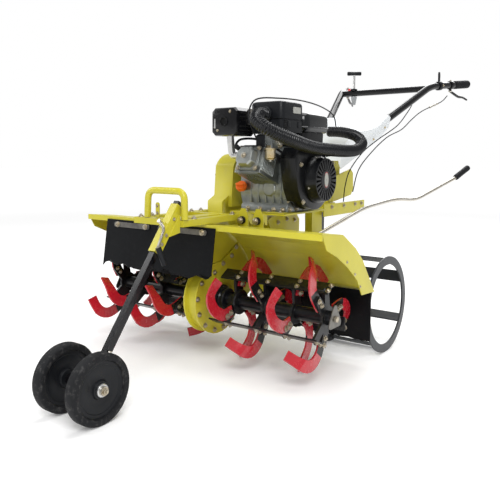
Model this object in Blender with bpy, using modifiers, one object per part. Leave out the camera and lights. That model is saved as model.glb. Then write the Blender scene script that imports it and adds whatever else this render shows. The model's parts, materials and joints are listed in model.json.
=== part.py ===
"""Walking tractor with a front rotor, a petrol engine, transport wheels and cage wheels.

Lengths are metres. X is across the machine with +X on its left, Y runs from front to rear, Z is up.
Places are measured from the rotor's axis, above the floor; the whole machine is then moved along Y
so that the middle of its length is at the origin.
"""

import math

import bmesh
import bpy
from mathutils import Matrix, Vector

NAME = "walking_tractor"
GAP = 0.0004  # between pieces that touch
WELD = 0.00001  # joins a curve's caps to its sides
Y_MID = 0.4973  # middle of the length, from the rotor's axis
SHEET = 0.003  # fender and panel steel

# Rotor
ROTOR_Z = 0.192
TINE_REACH = 0.181
SHAFT_R = 0.014
HUB_TUBE_R = 0.022
SET_INNER = 0.046
SET_OUTER = 0.444
STAR_X = (0.100, 0.215, 0.320, 0.425)
STAR_HUB_R = 0.036
STAR_PLATE = 0.008
ARM_W = 0.030
BAR_R = 0.090
BAR_W = 0.044
BAR_T = 0.005
BAR_LEAN = 65.0  # a bar's flat lies this far back from its arm's direction
BAR_ANGLES = (97.0, 217.0, 337.0)
BLADE_T = 0.006
BLADE_W = 0.037
EARLY_TURN = -13.0  # where the blades sit, from the tie bars' arms
LATE_TURN = 36.0
# Distance from the axis, degrees swept back, sideways offset
FLAT_BLADE = ((0.050, 0, 0), (0.085, -6, 0), (0.108, -14, 0), (0.140, -27, -0.001), (0.160, -42, 0),
              (0.160, -60, 0.014))
HOOKED_BLADE = ((0.050, 0, 0), (0.090, -1, 0), (0.120, -5, 0.001), (0.148, -15, 0.003), (0.162, -28, 0.014),
                (0.164, -40, 0.050))

# Chain case
CASE_EYE = (-0.011, 0.197)  # centre of the case's round end
CASE_END_R = 0.106
FLANGE_R = 0.119
CASE_HALF = 0.026
FLANGE_T = 0.005
CASE_TILT = 29.4
CASE_LENGTH = 0.33
CASE_HALF_W = 0.096

# Gearbox and rear axle
AXLE_Y = 0.369
CAGE_R = 0.164
GEARBOX_HALF = 0.055

# Cage wheels
CAGE_OUTER_X = 0.457
CAGE_INNER_X = 0.250
RING_W = 0.028
RING_T = 0.006
PADDLES = 6
PADDLE_W = 0.040
PADDLE_T = 0.004
SPOKE_W = 0.030
AXLE_R = 0.016
CAGE_HUB_R = 0.028

# Fenders
FENDER_HALF = 0.482
FENDER_INNER = 0.030
FENDER_PROFILE = ((-0.138, 0.456), (-0.016, 0.444), (0.066, 0.396), (0.114, 0.355), (0.203, 0.242))
SIDE_LOWER = ((0.114, 0.246), (0.079, 0.297), (0.015, 0.346), (-0.052, 0.384), (-0.110, 0.409))
LIP = 0.018

# Flaps
FLAP_T = 0.005

# Frame
RAIL_LEFT = (0.050, 0.080)
RAIL_RIGHT = (-0.128, -0.098)
RAIL_LOW = 0.4568
RAIL_TOP = 0.4760
RAIL_FRONT = -0.245
RAIL_REAR = 0.700

# Front wheels and strut
WHEEL_R = 0.0902
WHEEL_W = 0.033
WHEEL_OUT = 0.0817
STRUT_X = 0.0476
STRUT_A = 0.020
SLEEVE_A = 0.027
SLEEVE_LOW = (-0.333, 0.389)
SLEEVE_TOP = (-0.237, 0.518)
WHEEL_Y = -0.594
HOOP_R = 0.0105
CRANK_END = (0.074, -0.344, 0.410)
CRANK_GRIP = (0.081, -0.326, 0.357)
AXLE_TUBE_R = 0.014

# Engine
CRANK_Y = 0.195
CRANK_Z = 0.590
ENGINE_BASE_Z = 0.482
RECOIL_X = 0.312
RECOIL_R = 0.078
SHROUD_R = 0.100

# Handlebars
BAR_TUBE_R = 0.0165
GRIP_R = 0.0205
ARM_FOOT = (0.0616, 0.750, 0.665)
ARM_BEND = (0.239, 1.372, 1.012)
ARM_END = (0.325, 1.6728, 1.046)
T_LEVER = (-0.160, 1.352)
T_ROD_R = 0.0055
FOOT_BAR = (0.754, 0.669)
FOOT_BAR_R = 0.0125



def clear_scene():
    for thing in list(bpy.data.objects):
        bpy.data.objects.remove(thing, do_unlink=True)


def collection():
    found = bpy.data.collections.get(NAME)
    if found is None:
        found = bpy.data.collections.new(NAME)
        bpy.context.scene.collection.children.link(found)
    return found


def material(name, colour, metallic, roughness):
    found = bpy.data.materials.get(name)
    if found is None:
        found = bpy.data.materials.new(name)
        found.use_nodes = True
        shader = found.node_tree.nodes["Principled BSDF"]
        shader.inputs["Base Color"].default_value = (*colour, 1.0)
        shader.inputs["Metallic"].default_value = metallic
        shader.inputs["Roughness"].default_value = roughness
        found.diffuse_color = (*colour, 1.0)
    return found


def add(name, data):
    thing = bpy.data.objects.new(name, data)
    collection().objects.link(thing)
    return thing


def from_bmesh(name, shape):
    bmesh.ops.recalc_face_normals(shape, faces=shape.faces)
    mesh = bpy.data.meshes.new(name)
    shape.to_mesh(mesh)
    shape.free()
    return add(name, mesh)


def baked(thing, weld=0.0):
    """The object with its modifiers or its curve made into a plain mesh, its caps welded where asked."""
    bpy.context.view_layer.update()
    seen = thing.evaluated_get(bpy.context.evaluated_depsgraph_get())
    mesh = bpy.data.meshes.new_from_object(seen)
    mesh.transform(thing.matrix_world)
    name = thing.name
    bpy.data.objects.remove(thing, do_unlink=True)
    shape = bmesh.new()
    shape.from_mesh(mesh)
    if weld:
        bmesh.ops.remove_doubles(shape, verts=shape.verts, dist=weld)
    bpy.data.meshes.remove(mesh)
    return from_bmesh(name, shape)


def box(name, low, high):
    shape = bmesh.new()
    bmesh.ops.create_cube(shape, size=1.0)
    size = Vector(high) - Vector(low)
    middle = (Vector(high) + Vector(low)) / 2
    bmesh.ops.scale(shape, vec=size, verts=shape.verts)
    bmesh.ops.translate(shape, vec=middle, verts=shape.verts)
    return from_bmesh(name, shape)


def rod(name, start, end, radius, sides=24, end_radius=None):
    """A cylinder or cone between two points."""
    start, end = Vector(start), Vector(end)
    along = end - start
    shape = bmesh.new()
    bmesh.ops.create_cone(
        shape,
        cap_ends=True,
        segments=sides,
        radius1=radius,
        radius2=radius if end_radius is None else end_radius,
        depth=along.length,
    )
    turn = Vector((0, 0, 1)).rotation_difference(along).to_matrix().to_4x4()
    place = Matrix.Translation((start + end) / 2) @ turn
    bmesh.ops.transform(shape, matrix=place, verts=shape.verts)
    return from_bmesh(name, shape)


def disc(name, x0, x1, y, z, radius, sides=32):
    return rod(name, (x0, y, z), (x1, y, z), radius, sides)


def flat(name, outline, x0, x1):
    """A plate between x0 and x1 with an outline of (y, z) points."""
    curve = bpy.data.curves.new(name, "CURVE")
    curve.dimensions = "2D"
    curve.fill_mode = "BOTH"
    curve.extrude = abs(x1 - x0) / 2
    spline = curve.splines.new("POLY")
    spline.points.add(len(outline) - 1)
    for point, (y, z) in zip(spline.points, outline):
        point.co = (y, z, 0, 1)
    spline.use_cyclic_u = True
    thing = add(name, curve)
    stand = Matrix(((0, 0, 1, (x0 + x1) / 2), (1, 0, 0, 0), (0, 1, 0, 0), (0, 0, 0, 1)))
    thing.matrix_world = stand
    return baked(thing, WELD)


def tube(name, points, radius, resolution=2):
    """A round bar along points."""
    curve = bpy.data.curves.new(name, "CURVE")
    curve.dimensions = "3D"
    curve.bevel_depth = radius
    curve.bevel_resolution = resolution
    curve.use_fill_caps = True
    spline = curve.splines.new("POLY")
    spline.points.add(len(points) - 1)
    for point, place in zip(spline.points, points):
        point.co = (*place, 1)
    return baked(add(name, curve), WELD)


def rounded(points, radius, steps=5):
    """The corners of a path turned into arcs of about that radius."""
    points = [Vector(p) for p in points]
    path = [points[0]]
    for before, corner, after in zip(points, points[1:], points[2:]):
        back, ahead = (before - corner).normalized(), (after - corner).normalized()
        reach = min(radius, (before - corner).length / 2.1, (after - corner).length / 2.1)
        a, b = corner + back * reach, corner + ahead * reach
        for i in range(steps + 1):
            t = i / steps
            path.append(a * (1 - t) ** 2 + corner * 2 * t * (1 - t) + b * t * t)
    path.append(points[-1])
    return path


def bent_sheet(name, profile, x0, x1, thickness):
    """A sheet bent along X, with an outer profile of (y, z) points."""
    shape = bmesh.new()
    line = [shape.verts.new((x0, y, z)) for y, z in profile]
    edges = [shape.edges.new(pair) for pair in zip(line, line[1:])]
    pulled = bmesh.ops.extrude_edge_only(shape, edges=edges)["geom"]
    moved = [v for v in pulled if isinstance(v, bmesh.types.BMVert)]
    bmesh.ops.translate(shape, vec=(x1 - x0, 0, 0), verts=moved)
    bmesh.ops.recalc_face_normals(shape, faces=shape.faces)
    mesh = bpy.data.meshes.new(name)
    shape.to_mesh(mesh)
    shape.free()
    if mesh.polygons[0].normal.z < 0:
        mesh.flip_normals()
    thing = add(name, mesh)
    solid = thing.modifiers.new("thickness", "SOLIDIFY")
    solid.thickness = thickness
    solid.offset = -1.0
    solid.use_even_offset = True
    return baked(thing)


def combine(target, others, operation="UNION", solver="EXACT"):
    """Joins pieces to the target, or cuts them from it, and removes them."""
    tools = bpy.data.collections.get("tools")
    if tools is None:
        tools = bpy.data.collections.new("tools")
        bpy.context.scene.collection.children.link(tools)
    for other in others:
        tools.objects.link(other)
        collection().objects.unlink(other)
    change = target.modifiers.new(operation, "BOOLEAN")
    change.operation = operation
    change.solver = solver
    change.operand_type = "COLLECTION"
    change.collection = tools
    target = baked(target)
    for other in others:
        bpy.data.objects.remove(other, do_unlink=True)
    return target


def cut(target, others):
    return combine(target, others, "DIFFERENCE")


def arc(centre, radius, start, end, steps):
    """Points (y, z) of an arc, its angles in degrees from +Y towards +Z."""
    points = []
    for i in range(steps + 1):
        angle = math.radians(start + (end - start) * i / steps)
        points.append((centre[0] + radius * math.cos(angle), centre[1] + radius * math.sin(angle)))
    return points


def polar(radius, angle):
    """A point (y, z) round the rotor's axis."""
    turn = math.radians(angle)
    return radius * math.cos(turn), ROTOR_Z + radius * math.sin(turn)


# Rotor ---------------------------------------------------------------------------------------


def blade(name, x, angle, side, shape_points):
    """A sickle blade bolted flat on its star: it sweeps back, and its end bends towards one side."""
    shape = bmesh.new()
    path = catmull([(r, math.radians(angle + sweep), offset) for r, sweep, offset in shape_points], 3)
    middle = [Vector((x + side * offset, r * math.cos(turn), r * math.sin(turn))) for r, turn, offset in path]
    rows = []
    for i, point in enumerate(middle):
        along = middle[min(i + 1, len(middle) - 1)] - middle[max(i - 1, 0)]
        across = Vector((0, -along.z, along.y)).normalized() * BLADE_W / 2
        rows.append([within_reach(point - across), within_reach(point + across)])
    grid = [[shape.verts.new(p + Vector((0, 0, ROTOR_Z))) for p in row] for row in rows]
    for low, high in zip(grid, grid[1:]):
        shape.faces.new((low[0], low[1], high[1], high[0]))
    mesh = bpy.data.meshes.new(name)
    shape.to_mesh(mesh)
    shape.free()
    thing = add(name, mesh)
    solid = thing.modifiers.new("thickness", "SOLIDIFY")
    solid.thickness = BLADE_T
    solid.offset = 0.0
    solid.use_even_offset = True
    return baked(thing)


def within_reach(point):
    """The point, pulled in where it lies outside the blades' circle about the rotor's axis."""
    radius = math.hypot(point.y, point.z)
    most = TINE_REACH - BLADE_T / 2
    if radius <= most:
        return point
    return Vector((point.x, point.y * most / radius, point.z * most / radius))


def arm(x, angle, length, width):
    """A flat arm of a star, from its hub outwards."""
    a = math.radians(angle)
    out = Vector((math.cos(a), math.sin(a)))
    back = Vector((-out.y, out.x)) * width / 2
    base = Vector((0, ROTOR_Z))
    near, far = base + out * 0.01, base + out * length
    corners = [near - back, far - back * 0.8, far + back * 0.8, near + back]
    return flat("arm", [tuple(c) for c in corners], x - STAR_PLATE / 2, x + STAR_PLATE / 2)


def tie_bar(side, angle):
    """A flat bar along the rotor that ties the ends of the stars' arms together."""
    low, high = sorted((side * (SET_INNER + 0.002), side * (SET_OUTER - 0.002)))
    bar = box("bar", (low, -BAR_W / 2, -BAR_T / 2), (high, BAR_W / 2, BAR_T / 2))
    y, z = polar(BAR_R, angle)
    lean = Matrix.Rotation(math.radians(angle - BAR_LEAN), 4, "X")
    bar.data.transform(Matrix.Translation((0, y, z)) @ lean)
    return bar


def tine_set(name, side):
    """Stars, tie bars and blades on one side of the chain case, on a common tube."""
    body = disc(name, side * SET_INNER, side * SET_OUTER, 0, ROTOR_Z, HUB_TUBE_R, 20)
    parts = []
    for index, x in enumerate(STAR_X):
        parts.append(disc("hub", side * x - STAR_PLATE / 2, side * x + STAR_PLATE / 2, 0, ROTOR_Z, STAR_HUB_R, 24))
        early = index % 2 == 0
        curl = 1 if side > 0 and early else -1
        flat_kind = early == (side > 0)
        for bar_angle in BAR_ANGLES:
            parts.append(arm(side * x, bar_angle, BAR_R + 0.004, ARM_W))
            angle = bar_angle + (EARLY_TURN if early else LATE_TURN)
            parts.append(arm(side * x, angle, 0.088, BLADE_W - 0.004))
            seat = side * x + curl * (STAR_PLATE / 2 + BLADE_T / 2 - 0.0005)
            parts.append(blade("blade", seat, angle, curl, FLAT_BLADE if flat_kind else HOOKED_BLADE))
    parts += [tie_bar(side, angle) for angle in BAR_ANGLES]
    return combine(body, parts, solver="MANIFOLD")


def rotor():
    shaft = disc("rotor_shaft", -SET_INNER + GAP, SET_INNER - GAP, 0, ROTOR_Z, SHAFT_R, 24)
    return [shaft, tine_set("tine_set_left", 1), tine_set("tine_set_right", -1)]


# Chain case, gearbox, rear axle ----------------------------------------------------------------


def case_outline(end_radius, half_width, length):
    tilt = math.radians(CASE_TILT)
    along = Vector((math.cos(tilt), math.sin(tilt)))
    across = Vector((-math.sin(tilt), math.cos(tilt)))
    axis = Vector(CASE_EYE)
    spread = math.degrees(math.asin(half_width / end_radius))
    start = CASE_TILT + spread
    finish = CASE_TILT + 360 - spread
    points = arc(axis, end_radius, start, finish, 22)
    far = axis + along * length
    points.append(tuple(far - across * half_width))
    points.append(tuple(far + across * half_width))
    return points


def chain_case():
    body = flat("chain_case", case_outline(CASE_END_R, CASE_HALF_W - 0.014, CASE_LENGTH - 0.006),
                0.002 - CASE_HALF, CASE_HALF - 0.002)
    flanges = []
    for side in (-1, 1):
        edge = side * CASE_HALF
        flanges.append(flat("flange", case_outline(FLANGE_R, CASE_HALF_W, CASE_LENGTH), edge - side * FLANGE_T, edge))
    bore = disc("bore", -0.1, 0.1, 0, ROTOR_Z, SHAFT_R + GAP, 24)
    return cut(combine(body, flanges), [bore])


def case_point(along, across):
    """A point (y, z) in the chain case's own directions, from the centre of its round end."""
    tilt = math.radians(CASE_TILT)
    y, z = CASE_EYE
    return (
        y + along * math.cos(tilt) - across * math.sin(tilt),
        z + along * math.sin(tilt) + across * math.cos(tilt),
    )


def frame_web():
    """The plate between the chain case and the frame above it."""
    reach = FLANGE_R + GAP
    edge = CASE_HALF_W + GAP
    start = math.degrees(math.asin(edge / reach)) + CASE_TILT
    outline = [(-0.150, RAIL_LOW + 0.004), (-0.136, RAIL_LOW - 0.010)]
    outline += arc(CASE_EYE, reach, 129.7, start, 8)
    outline += [case_point(0.245, edge), (0.155, 0.426), (0.060, 0.426), (0.030, RAIL_LOW + 0.004)]
    return flat("web", outline, -0.020, 0.020)


def gearbox():
    front = CASE_LENGTH + GAP
    outline = [case_point(front, 0.088), (0.262, 0.448), (0.430, 0.448), (0.452, 0.425), (0.452, 0.300)]
    outline += [(0.420, 0.225)]
    outline += arc((AXLE_Y, CAGE_R), 0.050, 40, -200, 16)
    outline += [case_point(front, -0.100)]
    body = flat("gearbox", outline, -GEARBOX_HALF, GEARBOX_HALF)
    tube_left = disc("housing", 0.05, 0.150, AXLE_Y, CAGE_R, 0.032, 24)
    tube_right = disc("housing", -0.150, -0.05, AXLE_Y, CAGE_R, 0.032, 24)
    bore = disc("bore", -0.3, 0.3, AXLE_Y, CAGE_R, AXLE_R + GAP, 24)
    return cut(combine(body, [tube_left, tube_right]), [bore])


def spun(name, profile, place, steps=40, bored=True):
    """A turned piece about an X axis, from (radius, x) points: a closed loop where it has a bore."""
    shape = bmesh.new()
    loop = [shape.verts.new((r, 0, h)) for r, h in profile]
    for a, b in zip(loop, loop[1:] + loop[:1] if bored else loop[1:]):
        shape.edges.new((a, b))
    mesh = bpy.data.meshes.new(name)
    shape.to_mesh(mesh)
    shape.free()
    thing = add(name, mesh)
    screw = thing.modifiers.new("turn", "SCREW")
    screw.steps = steps
    screw.render_steps = steps
    screw.use_merge_vertices = True
    screw.merge_threshold = 0.0001
    x, y, z = place
    thing.matrix_world = Matrix(((0, 0, 1, x), (1, 0, 0, y), (0, 1, 0, z), (0, 0, 0, 1)))
    return baked(thing)


def cage_wheel(name, side):
    """Two rings joined by flat paddles, with spokes and a hub in the inner ring."""
    inner = CAGE_R - RING_W

    def ring(x):
        low, high = sorted((side * x, side * (x - RING_T)))
        profile = [(inner, low), (CAGE_R, low), (CAGE_R, high), (inner, high)]
        return spun("ring", profile, (0, AXLE_Y, CAGE_R))

    body = ring(CAGE_INNER_X)
    parts = [ring(CAGE_OUTER_X)]
    for i in range(PADDLES):
        angle = math.radians(90 + 360 * i / PADDLES)
        radius = CAGE_R - RING_W / 2
        centre = Vector((0, AXLE_Y + radius * math.cos(angle), CAGE_R + radius * math.sin(angle)))
        low, high = sorted((side * (CAGE_INNER_X - RING_T / 2), side * (CAGE_OUTER_X - RING_T / 2)))
        paddle = box("paddle", (low, -PADDLE_W / 2, -PADDLE_T / 2), (high, PADDLE_W / 2, PADDLE_T / 2))
        lean = Matrix.Rotation(angle - math.radians(90) - math.radians(32), 4, "X")
        paddle.data.transform(Matrix.Translation(centre) @ lean)
        parts.append(paddle)
    low, high = sorted((side * (CAGE_INNER_X - RING_T), side * CAGE_INNER_X))
    for i in range(3):
        angle = math.radians(30 + 120 * i)
        reach = CAGE_R - RING_W / 2
        spoke = box("spoke", (low, 0, -SPOKE_W / 2), (high, reach, SPOKE_W / 2))
        place = Matrix.Translation((0, AXLE_Y, CAGE_R)) @ Matrix.Rotation(angle, 4, "X")
        spoke.data.transform(place)
        parts.append(spoke)
    low, high = sorted((side * (CAGE_INNER_X - 0.040), side * (CAGE_INNER_X + 0.014)))
    parts.append(disc("hub", low, high, AXLE_Y, CAGE_R, CAGE_HUB_R, 24))
    bore = disc("bore", side * 0.1, side * 0.6, AXLE_Y, CAGE_R, AXLE_R + GAP, 24)
    body = combine(body, parts)
    body.name = name
    return cut(body, [bore])


def rear_axle():
    shaft = disc("rear_axle", -0.266, 0.266, AXLE_Y, CAGE_R, AXLE_R, 24)
    ends = []
    for side in (-1, 1):
        x = side * (CAGE_INNER_X + 0.014 + GAP)
        ends.append(disc("end", x, x + side * 0.006, AXLE_Y, CAGE_R, 0.024, 24))
    return combine(shaft, ends)


# Fenders, flaps and frame ------------------------------------------------------------------------


def fender(name, side):
    """A bent cover over one set of tines, with a front lip and an end plate on its outer side."""
    first = FENDER_PROFILE[0]
    profile = [(first[0], first[1] - LIP)] + list(FENDER_PROFILE)
    low, high = sorted((side * FENDER_INNER, side * (FENDER_HALF - 0.0005)))
    cover = bent_sheet(name, profile, low, high, SHEET)
    outline = [(y + 0.001, z - 0.001) for y, z in FENDER_PROFILE] + list(SIDE_LOWER)
    low, high = sorted((side * (FENDER_HALF - SHEET), side * FENDER_HALF))
    return combine(cover, [flat("end", outline, low, high)])


def rear_panel(name, side):
    """The flat apron that hangs from the rear edge of a fender, with its rubber flap below."""
    low, high = sorted((side * 0.075, side * (FENDER_HALF - SHEET - GAP)))
    return box(name, (low, 0.1865, 0.078), (high, 0.1865 + FLAP_T, 0.2425))


def front_flap():
    outline = [(-0.1384, 0.446), (-0.1434, 0.446), (-0.1680, 0.285), (-0.1630, 0.285)]
    return flat("front_flap", outline, -0.372, 0.118)


def main_frame():
    rails = []
    body = box("main_frame", (RAIL_LEFT[0], RAIL_FRONT, RAIL_LOW), (RAIL_LEFT[1], RAIL_REAR, RAIL_TOP))
    rails.append(box("rail", (RAIL_RIGHT[0], RAIL_FRONT, RAIL_LOW), (RAIL_RIGHT[1], RAIL_REAR, RAIL_TOP)))
    for y0, y1 in ((RAIL_FRONT, -0.205), (-0.010, 0.020), (0.400, 0.430), (0.660, RAIL_REAR)):
        rails.append(box("cross", (RAIL_RIGHT[0] + 0.01, y0, RAIL_LOW), (RAIL_LEFT[1] - 0.01, y1, RAIL_TOP)))
    rails.append(box("spine", (-0.024, -0.220, RAIL_LOW + 0.001), (0.024, 0.005, RAIL_TOP - 0.001)))
    rails.append(frame_web())
    return combine(body, rails)


def engine_plate():
    low, top = RAIL_TOP + GAP, ENGINE_BASE_Z - GAP
    plate = box("engine_plate", (0.020, 0.055, low), (0.238, 0.330, top))
    lugs = []
    for x in (0.098, 0.158):
        outline = [(0.052, low - 0.034), (0.060, low - 0.034), (0.060, top), (0.030, top), (0.030, low - 0.008)]
        lugs.append(flat("lug", outline, x - 0.012, x + 0.012))
    return combine(plate, lugs)


def bumper_hoop():
    y, top, foot = -0.2345, 0.5615, RAIL_TOP + GAP + 0.001
    path = rounded([(-0.078, y, foot), (-0.0735, y, top), (0.0745, y, top), (0.0765, y, foot)], 0.0125, 5)
    return tube("bumper_hoop", path, HOOP_R, 3)


def along_strut(distance, ahead=0.0):
    """A point (y, z) on the strut's line, measured up from the foot of its sleeve."""
    low, top = Vector(SLEEVE_LOW), Vector(SLEEVE_TOP)
    up = (top - low).normalized()
    front = Vector((-up.y, up.x))
    return low + up * distance + front * ahead


def square_bar(name, x, start, end, size):
    """A square bar along the strut's direction."""
    a, b = size / 2, -size / 2
    outline = [
        tuple(along_strut(start, a)), tuple(along_strut(start, b)),
        tuple(along_strut(end, b)), tuple(along_strut(end, a)),
    ]
    return flat(name, outline, x - size / 2, x + size / 2)


def strut_sleeve():
    length = (Vector(SLEEVE_TOP) - Vector(SLEEVE_LOW)).length
    body = square_bar("strut_sleeve", STRUT_X, 0, length, SLEEVE_A)
    foot = [tuple(along_strut(0.060, -0.008)), (RAIL_FRONT - GAP, 0.440)]
    foot += [(RAIL_FRONT - GAP, 0.492), tuple(along_strut(0.125, -0.008))]
    bracket = flat("bracket", foot, STRUT_X - 0.020, STRUT_X + 0.020)
    start, end = along_strut(0.085, SLEEVE_A / 2 - 0.002), along_strut(0.085, SLEEVE_A / 2 + 0.010)
    nut = rod("nut", (STRUT_X, *start), (STRUT_X, *end), 0.011, 6)
    hollow = square_bar("hollow", STRUT_X, -0.05, length + 0.05, STRUT_A + 2 * GAP)
    return cut(combine(body, [bracket, nut]), [hollow])


def clamp_handle():
    base = along_strut(0.085, SLEEVE_A / 2 + 0.010 + 2 * GAP)
    head = along_strut(0.085, SLEEVE_A / 2 + 0.026)
    screw = rod("clamp_handle", (STRUT_X, *base), (STRUT_X, *head), 0.006, 16)
    mid = along_strut(0.085, SLEEVE_A / 2 + 0.022)
    path = rounded([(STRUT_X, *mid), (STRUT_X + 0.018, mid[0] + 0.002, mid[1] - 0.018), CRANK_END], 0.012, 4)
    knob = rod("knob", CRANK_END, CRANK_GRIP, 0.0085, 16, 0.0075)
    return combine(screw, [tube("crank", path, 0.0042, 2), knob])


def strut():
    top = (Vector(SLEEVE_TOP) - Vector(SLEEVE_LOW)).length + 0.012
    axle = Vector((WHEEL_Y, WHEEL_R))
    low, up = Vector(SLEEVE_LOW), (Vector(SLEEVE_TOP) - Vector(SLEEVE_LOW)).normalized()
    foot = (axle - low).dot(up) - 0.012
    return square_bar("strut", STRUT_X, foot, top, STRUT_A), foot


def front_axle(foot):
    half = WHEEL_OUT - WHEEL_W - 0.001
    body = disc("front_axle", STRUT_X - half, STRUT_X + half, WHEEL_Y, WHEEL_R, AXLE_TUBE_R, 24)
    pin = disc("pin", STRUT_X - WHEEL_OUT - 0.006, STRUT_X + WHEEL_OUT + 0.006, WHEEL_Y, WHEEL_R, 0.007, 20)
    heads = [pin]
    for side in (-1, 1):
        x = STRUT_X + side * (WHEEL_OUT - 0.002)
        heads.append(disc("head", x, x + side * 0.009, WHEEL_Y, WHEEL_R, 0.012, 20))
    gusset_low = along_strut(foot + 0.004, STRUT_A / 2 + GAP)
    gusset_top = along_strut(foot + 0.050, STRUT_A / 2 + GAP)
    outline = [tuple(gusset_low), tuple(gusset_top), (WHEEL_Y + 0.004, WHEEL_R + 0.012), (WHEEL_Y, WHEEL_R - 0.004)]
    heads.append(flat("gusset", outline, STRUT_X - 0.008, STRUT_X + 0.008))
    return combine(body, heads)


def front_wheel(name, side):
    h = WHEEL_W / 2
    bore = 0.0074
    profile = [
        (bore, h - 0.004), (0.022, h - 0.004), (0.025, h - 0.010), (0.070, h - 0.010), (0.074, h),
        (0.087, h), (WHEEL_R, h - 0.004), (WHEEL_R, 0.004 - h), (0.087, -h), (0.074, -h),
        (0.070, 0.010 - h), (0.025, 0.010 - h), (0.022, 0.004 - h), (bore, 0.004 - h),
    ]
    x = STRUT_X + side * (WHEEL_OUT - h)
    return spun(name, profile, (x, WHEEL_Y, WHEEL_R), 48)


# Engine --------------------------------------------------------------------------------------------


def engine_block():
    z = ENGINE_BASE_Z
    outline = [(0.105, z), (0.290, z), (0.290, z + 0.018), (0.278, z + 0.024), (0.285, z + 0.060),
               (0.285, z + 0.150), (0.255, z + 0.185), (0.150, z + 0.185), (0.105, z + 0.160),
               (0.100, z + 0.060), (0.112, z + 0.024), (0.105, z + 0.018)]
    body = flat("engine_block", outline, 0.032, 0.215)
    tilt = math.radians(20)
    block = box("cylinder", (0.088, -0.115, -0.046), (0.186, 0.030, 0.046))
    turn = Matrix.Translation((0, 0.115, 0.618)) @ Matrix.Rotation(-tilt, 4, "X")
    block.data.transform(turn)
    shaft = disc("shaft", -0.0145, 0.040, CRANK_Y, CRANK_Z, 0.012, 20)
    return combine(body, [block, shaft])


def valve_cover():
    tilt = math.radians(20)
    cover = box("valve_cover", (0.097, -0.150, -0.038), (0.177, -0.115 - GAP, 0.040))
    turn = Matrix.Translation((0, 0.115, 0.618)) @ Matrix.Rotation(-tilt, 4, "X")
    cover.data.transform(turn)
    return bevelled(cover, 0.012, 2)


def bevelled(thing, width, segments=2, limit=30):
    """Rounds the edges of a piece."""
    bevel = thing.modifiers.new("round", "BEVEL")
    bevel.width = width
    bevel.segments = segments
    bevel.limit_method = "ANGLE"
    bevel.angle_limit = math.radians(limit)
    return baked(thing)


def fan_shroud():
    outline = [(0.085, 0.694), (0.060, 0.660), (0.082, 0.560), (0.105, 0.520)]
    outline += arc((CRANK_Y, CRANK_Z), SHROUD_R, 225, 420, 20)
    outline += [(0.235, 0.694)]
    body = flat("fan_shroud", outline, 0.215 + GAP, 0.272)
    return bevelled(body, 0.006, 2)


def recoil_starter():
    x0 = 0.272 + GAP
    depth = RECOIL_X - x0
    profile = [(0, 0), (RECOIL_R, 0), (RECOIL_R, 0.012), (RECOIL_R - 0.004, 0.018), (RECOIL_R - 0.008, depth - 0.004)]
    profile += [(RECOIL_R - 0.012, depth), (0.032, depth), (0.030, depth - 0.004), (0, depth - 0.004)]
    return spun("recoil_starter", profile, (x0, CRANK_Y, CRANK_Z), bored=False)


def muffler():
    """The silencer box with the pipe that comes from the side of the cylinder."""
    body = bevelled(box("muffler", (0.018, -0.042, 0.7305), (0.121, 0.056, 0.820)), 0.012, 2)
    path = rounded([(0.055, 0.010, 0.740), (0.055, 0.022, 0.668), (0.088 - GAP, 0.022, 0.668)], 0.016, 4)
    return combine(body, [tube("pipe", path, 0.012, 2)])


def air_cleaner():
    body = box("air_cleaner", (0.128, 0.020, 0.738), (0.250, 0.150, 0.838))
    return bevelled(body, 0.014, 3)


def fuel_tank():
    body = box("fuel_tank", (0.030, 0.156, 0.745), (0.255, 0.330, 0.812))
    lower = box("sump", (0.045, 0.170, 0.700), (0.240, 0.315, 0.760))
    stays = box("stay", (0.060, 0.190, 0.6675), (0.200, 0.270, 0.710))
    cap = rod("cap", (0.090, 0.215, 0.800), (0.090, 0.215, 0.828), 0.026, 20)
    return combine(bevelled(body, 0.016, 3), [lower, stays, cap])


def carburettor():
    body = box("carburettor", (0.1865, 0.020, 0.690), (0.2145, 0.075, 0.737))
    bowl = rod("bowl", (0.200, 0.030, 0.655), (0.200, 0.030, 0.700), 0.0135, 16)
    return combine(body, [bowl])


def belt_cover():
    top = arc((CRANK_Y, CRANK_Z), 0.085, 60, 150, 8)
    outline = top + [(0.112, 0.528), (0.076, 0.510), (0.076, 0.434)]
    outline += arc((0.150, 0.430), 0.074, 190, 360, 12)
    outline += [(0.262, 0.560)]
    body = flat("belt_cover", outline, -0.095, -0.0304)
    wide = arc((CRANK_Y, CRANK_Z), 0.085, 60, 150, 8) + [(0.112, 0.528), (0.112, 0.490), (0.240, 0.490)]
    return combine(body, [flat("upper", wide, -0.06, -0.0155)])


# Handlebars ----------------------------------------------------------------------------------------


def handle_frame():
    arms = []
    for side in (-1, 1):
        points = [(side * ARM_FOOT[0], *ARM_FOOT[1:]), (side * ARM_BEND[0], *ARM_BEND[1:])]
        end = Vector((side * ARM_END[0], *ARM_END[1:]))
        bend = Vector((side * ARM_BEND[0], *ARM_BEND[1:]))
        grip_start = end - (end - bend).normalized() * 0.118
        points.append(tuple(grip_start))
        arms.append(tube("arm", rounded(points, 0.045, 5), BAR_TUBE_R, 3))
    cross = rod("cross", (-0.236, 1.352, 1.000), (0.236, 1.352, 1.000), 0.0155, 16)
    foot = rod("foot", (-0.064, *FOOT_BAR), (0.064, *FOOT_BAR), FOOT_BAR_R, 20)
    body = combine(arms[0], [arms[1], cross, foot])
    body.name = "handle_frame"
    x, y = T_LEVER
    return cut(body, [rod("hole", (x, y, 0.97), (x, y, 1.03), T_ROD_R + GAP, 12)])


def grip(name, side):
    end = Vector((side * ARM_END[0], *ARM_END[1:]))
    bend = Vector((side * ARM_BEND[0], *ARM_BEND[1:]))
    along = (end - bend).normalized()
    return rod(name, end - along * (0.118 - GAP), end, GRIP_R, 20)


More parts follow.
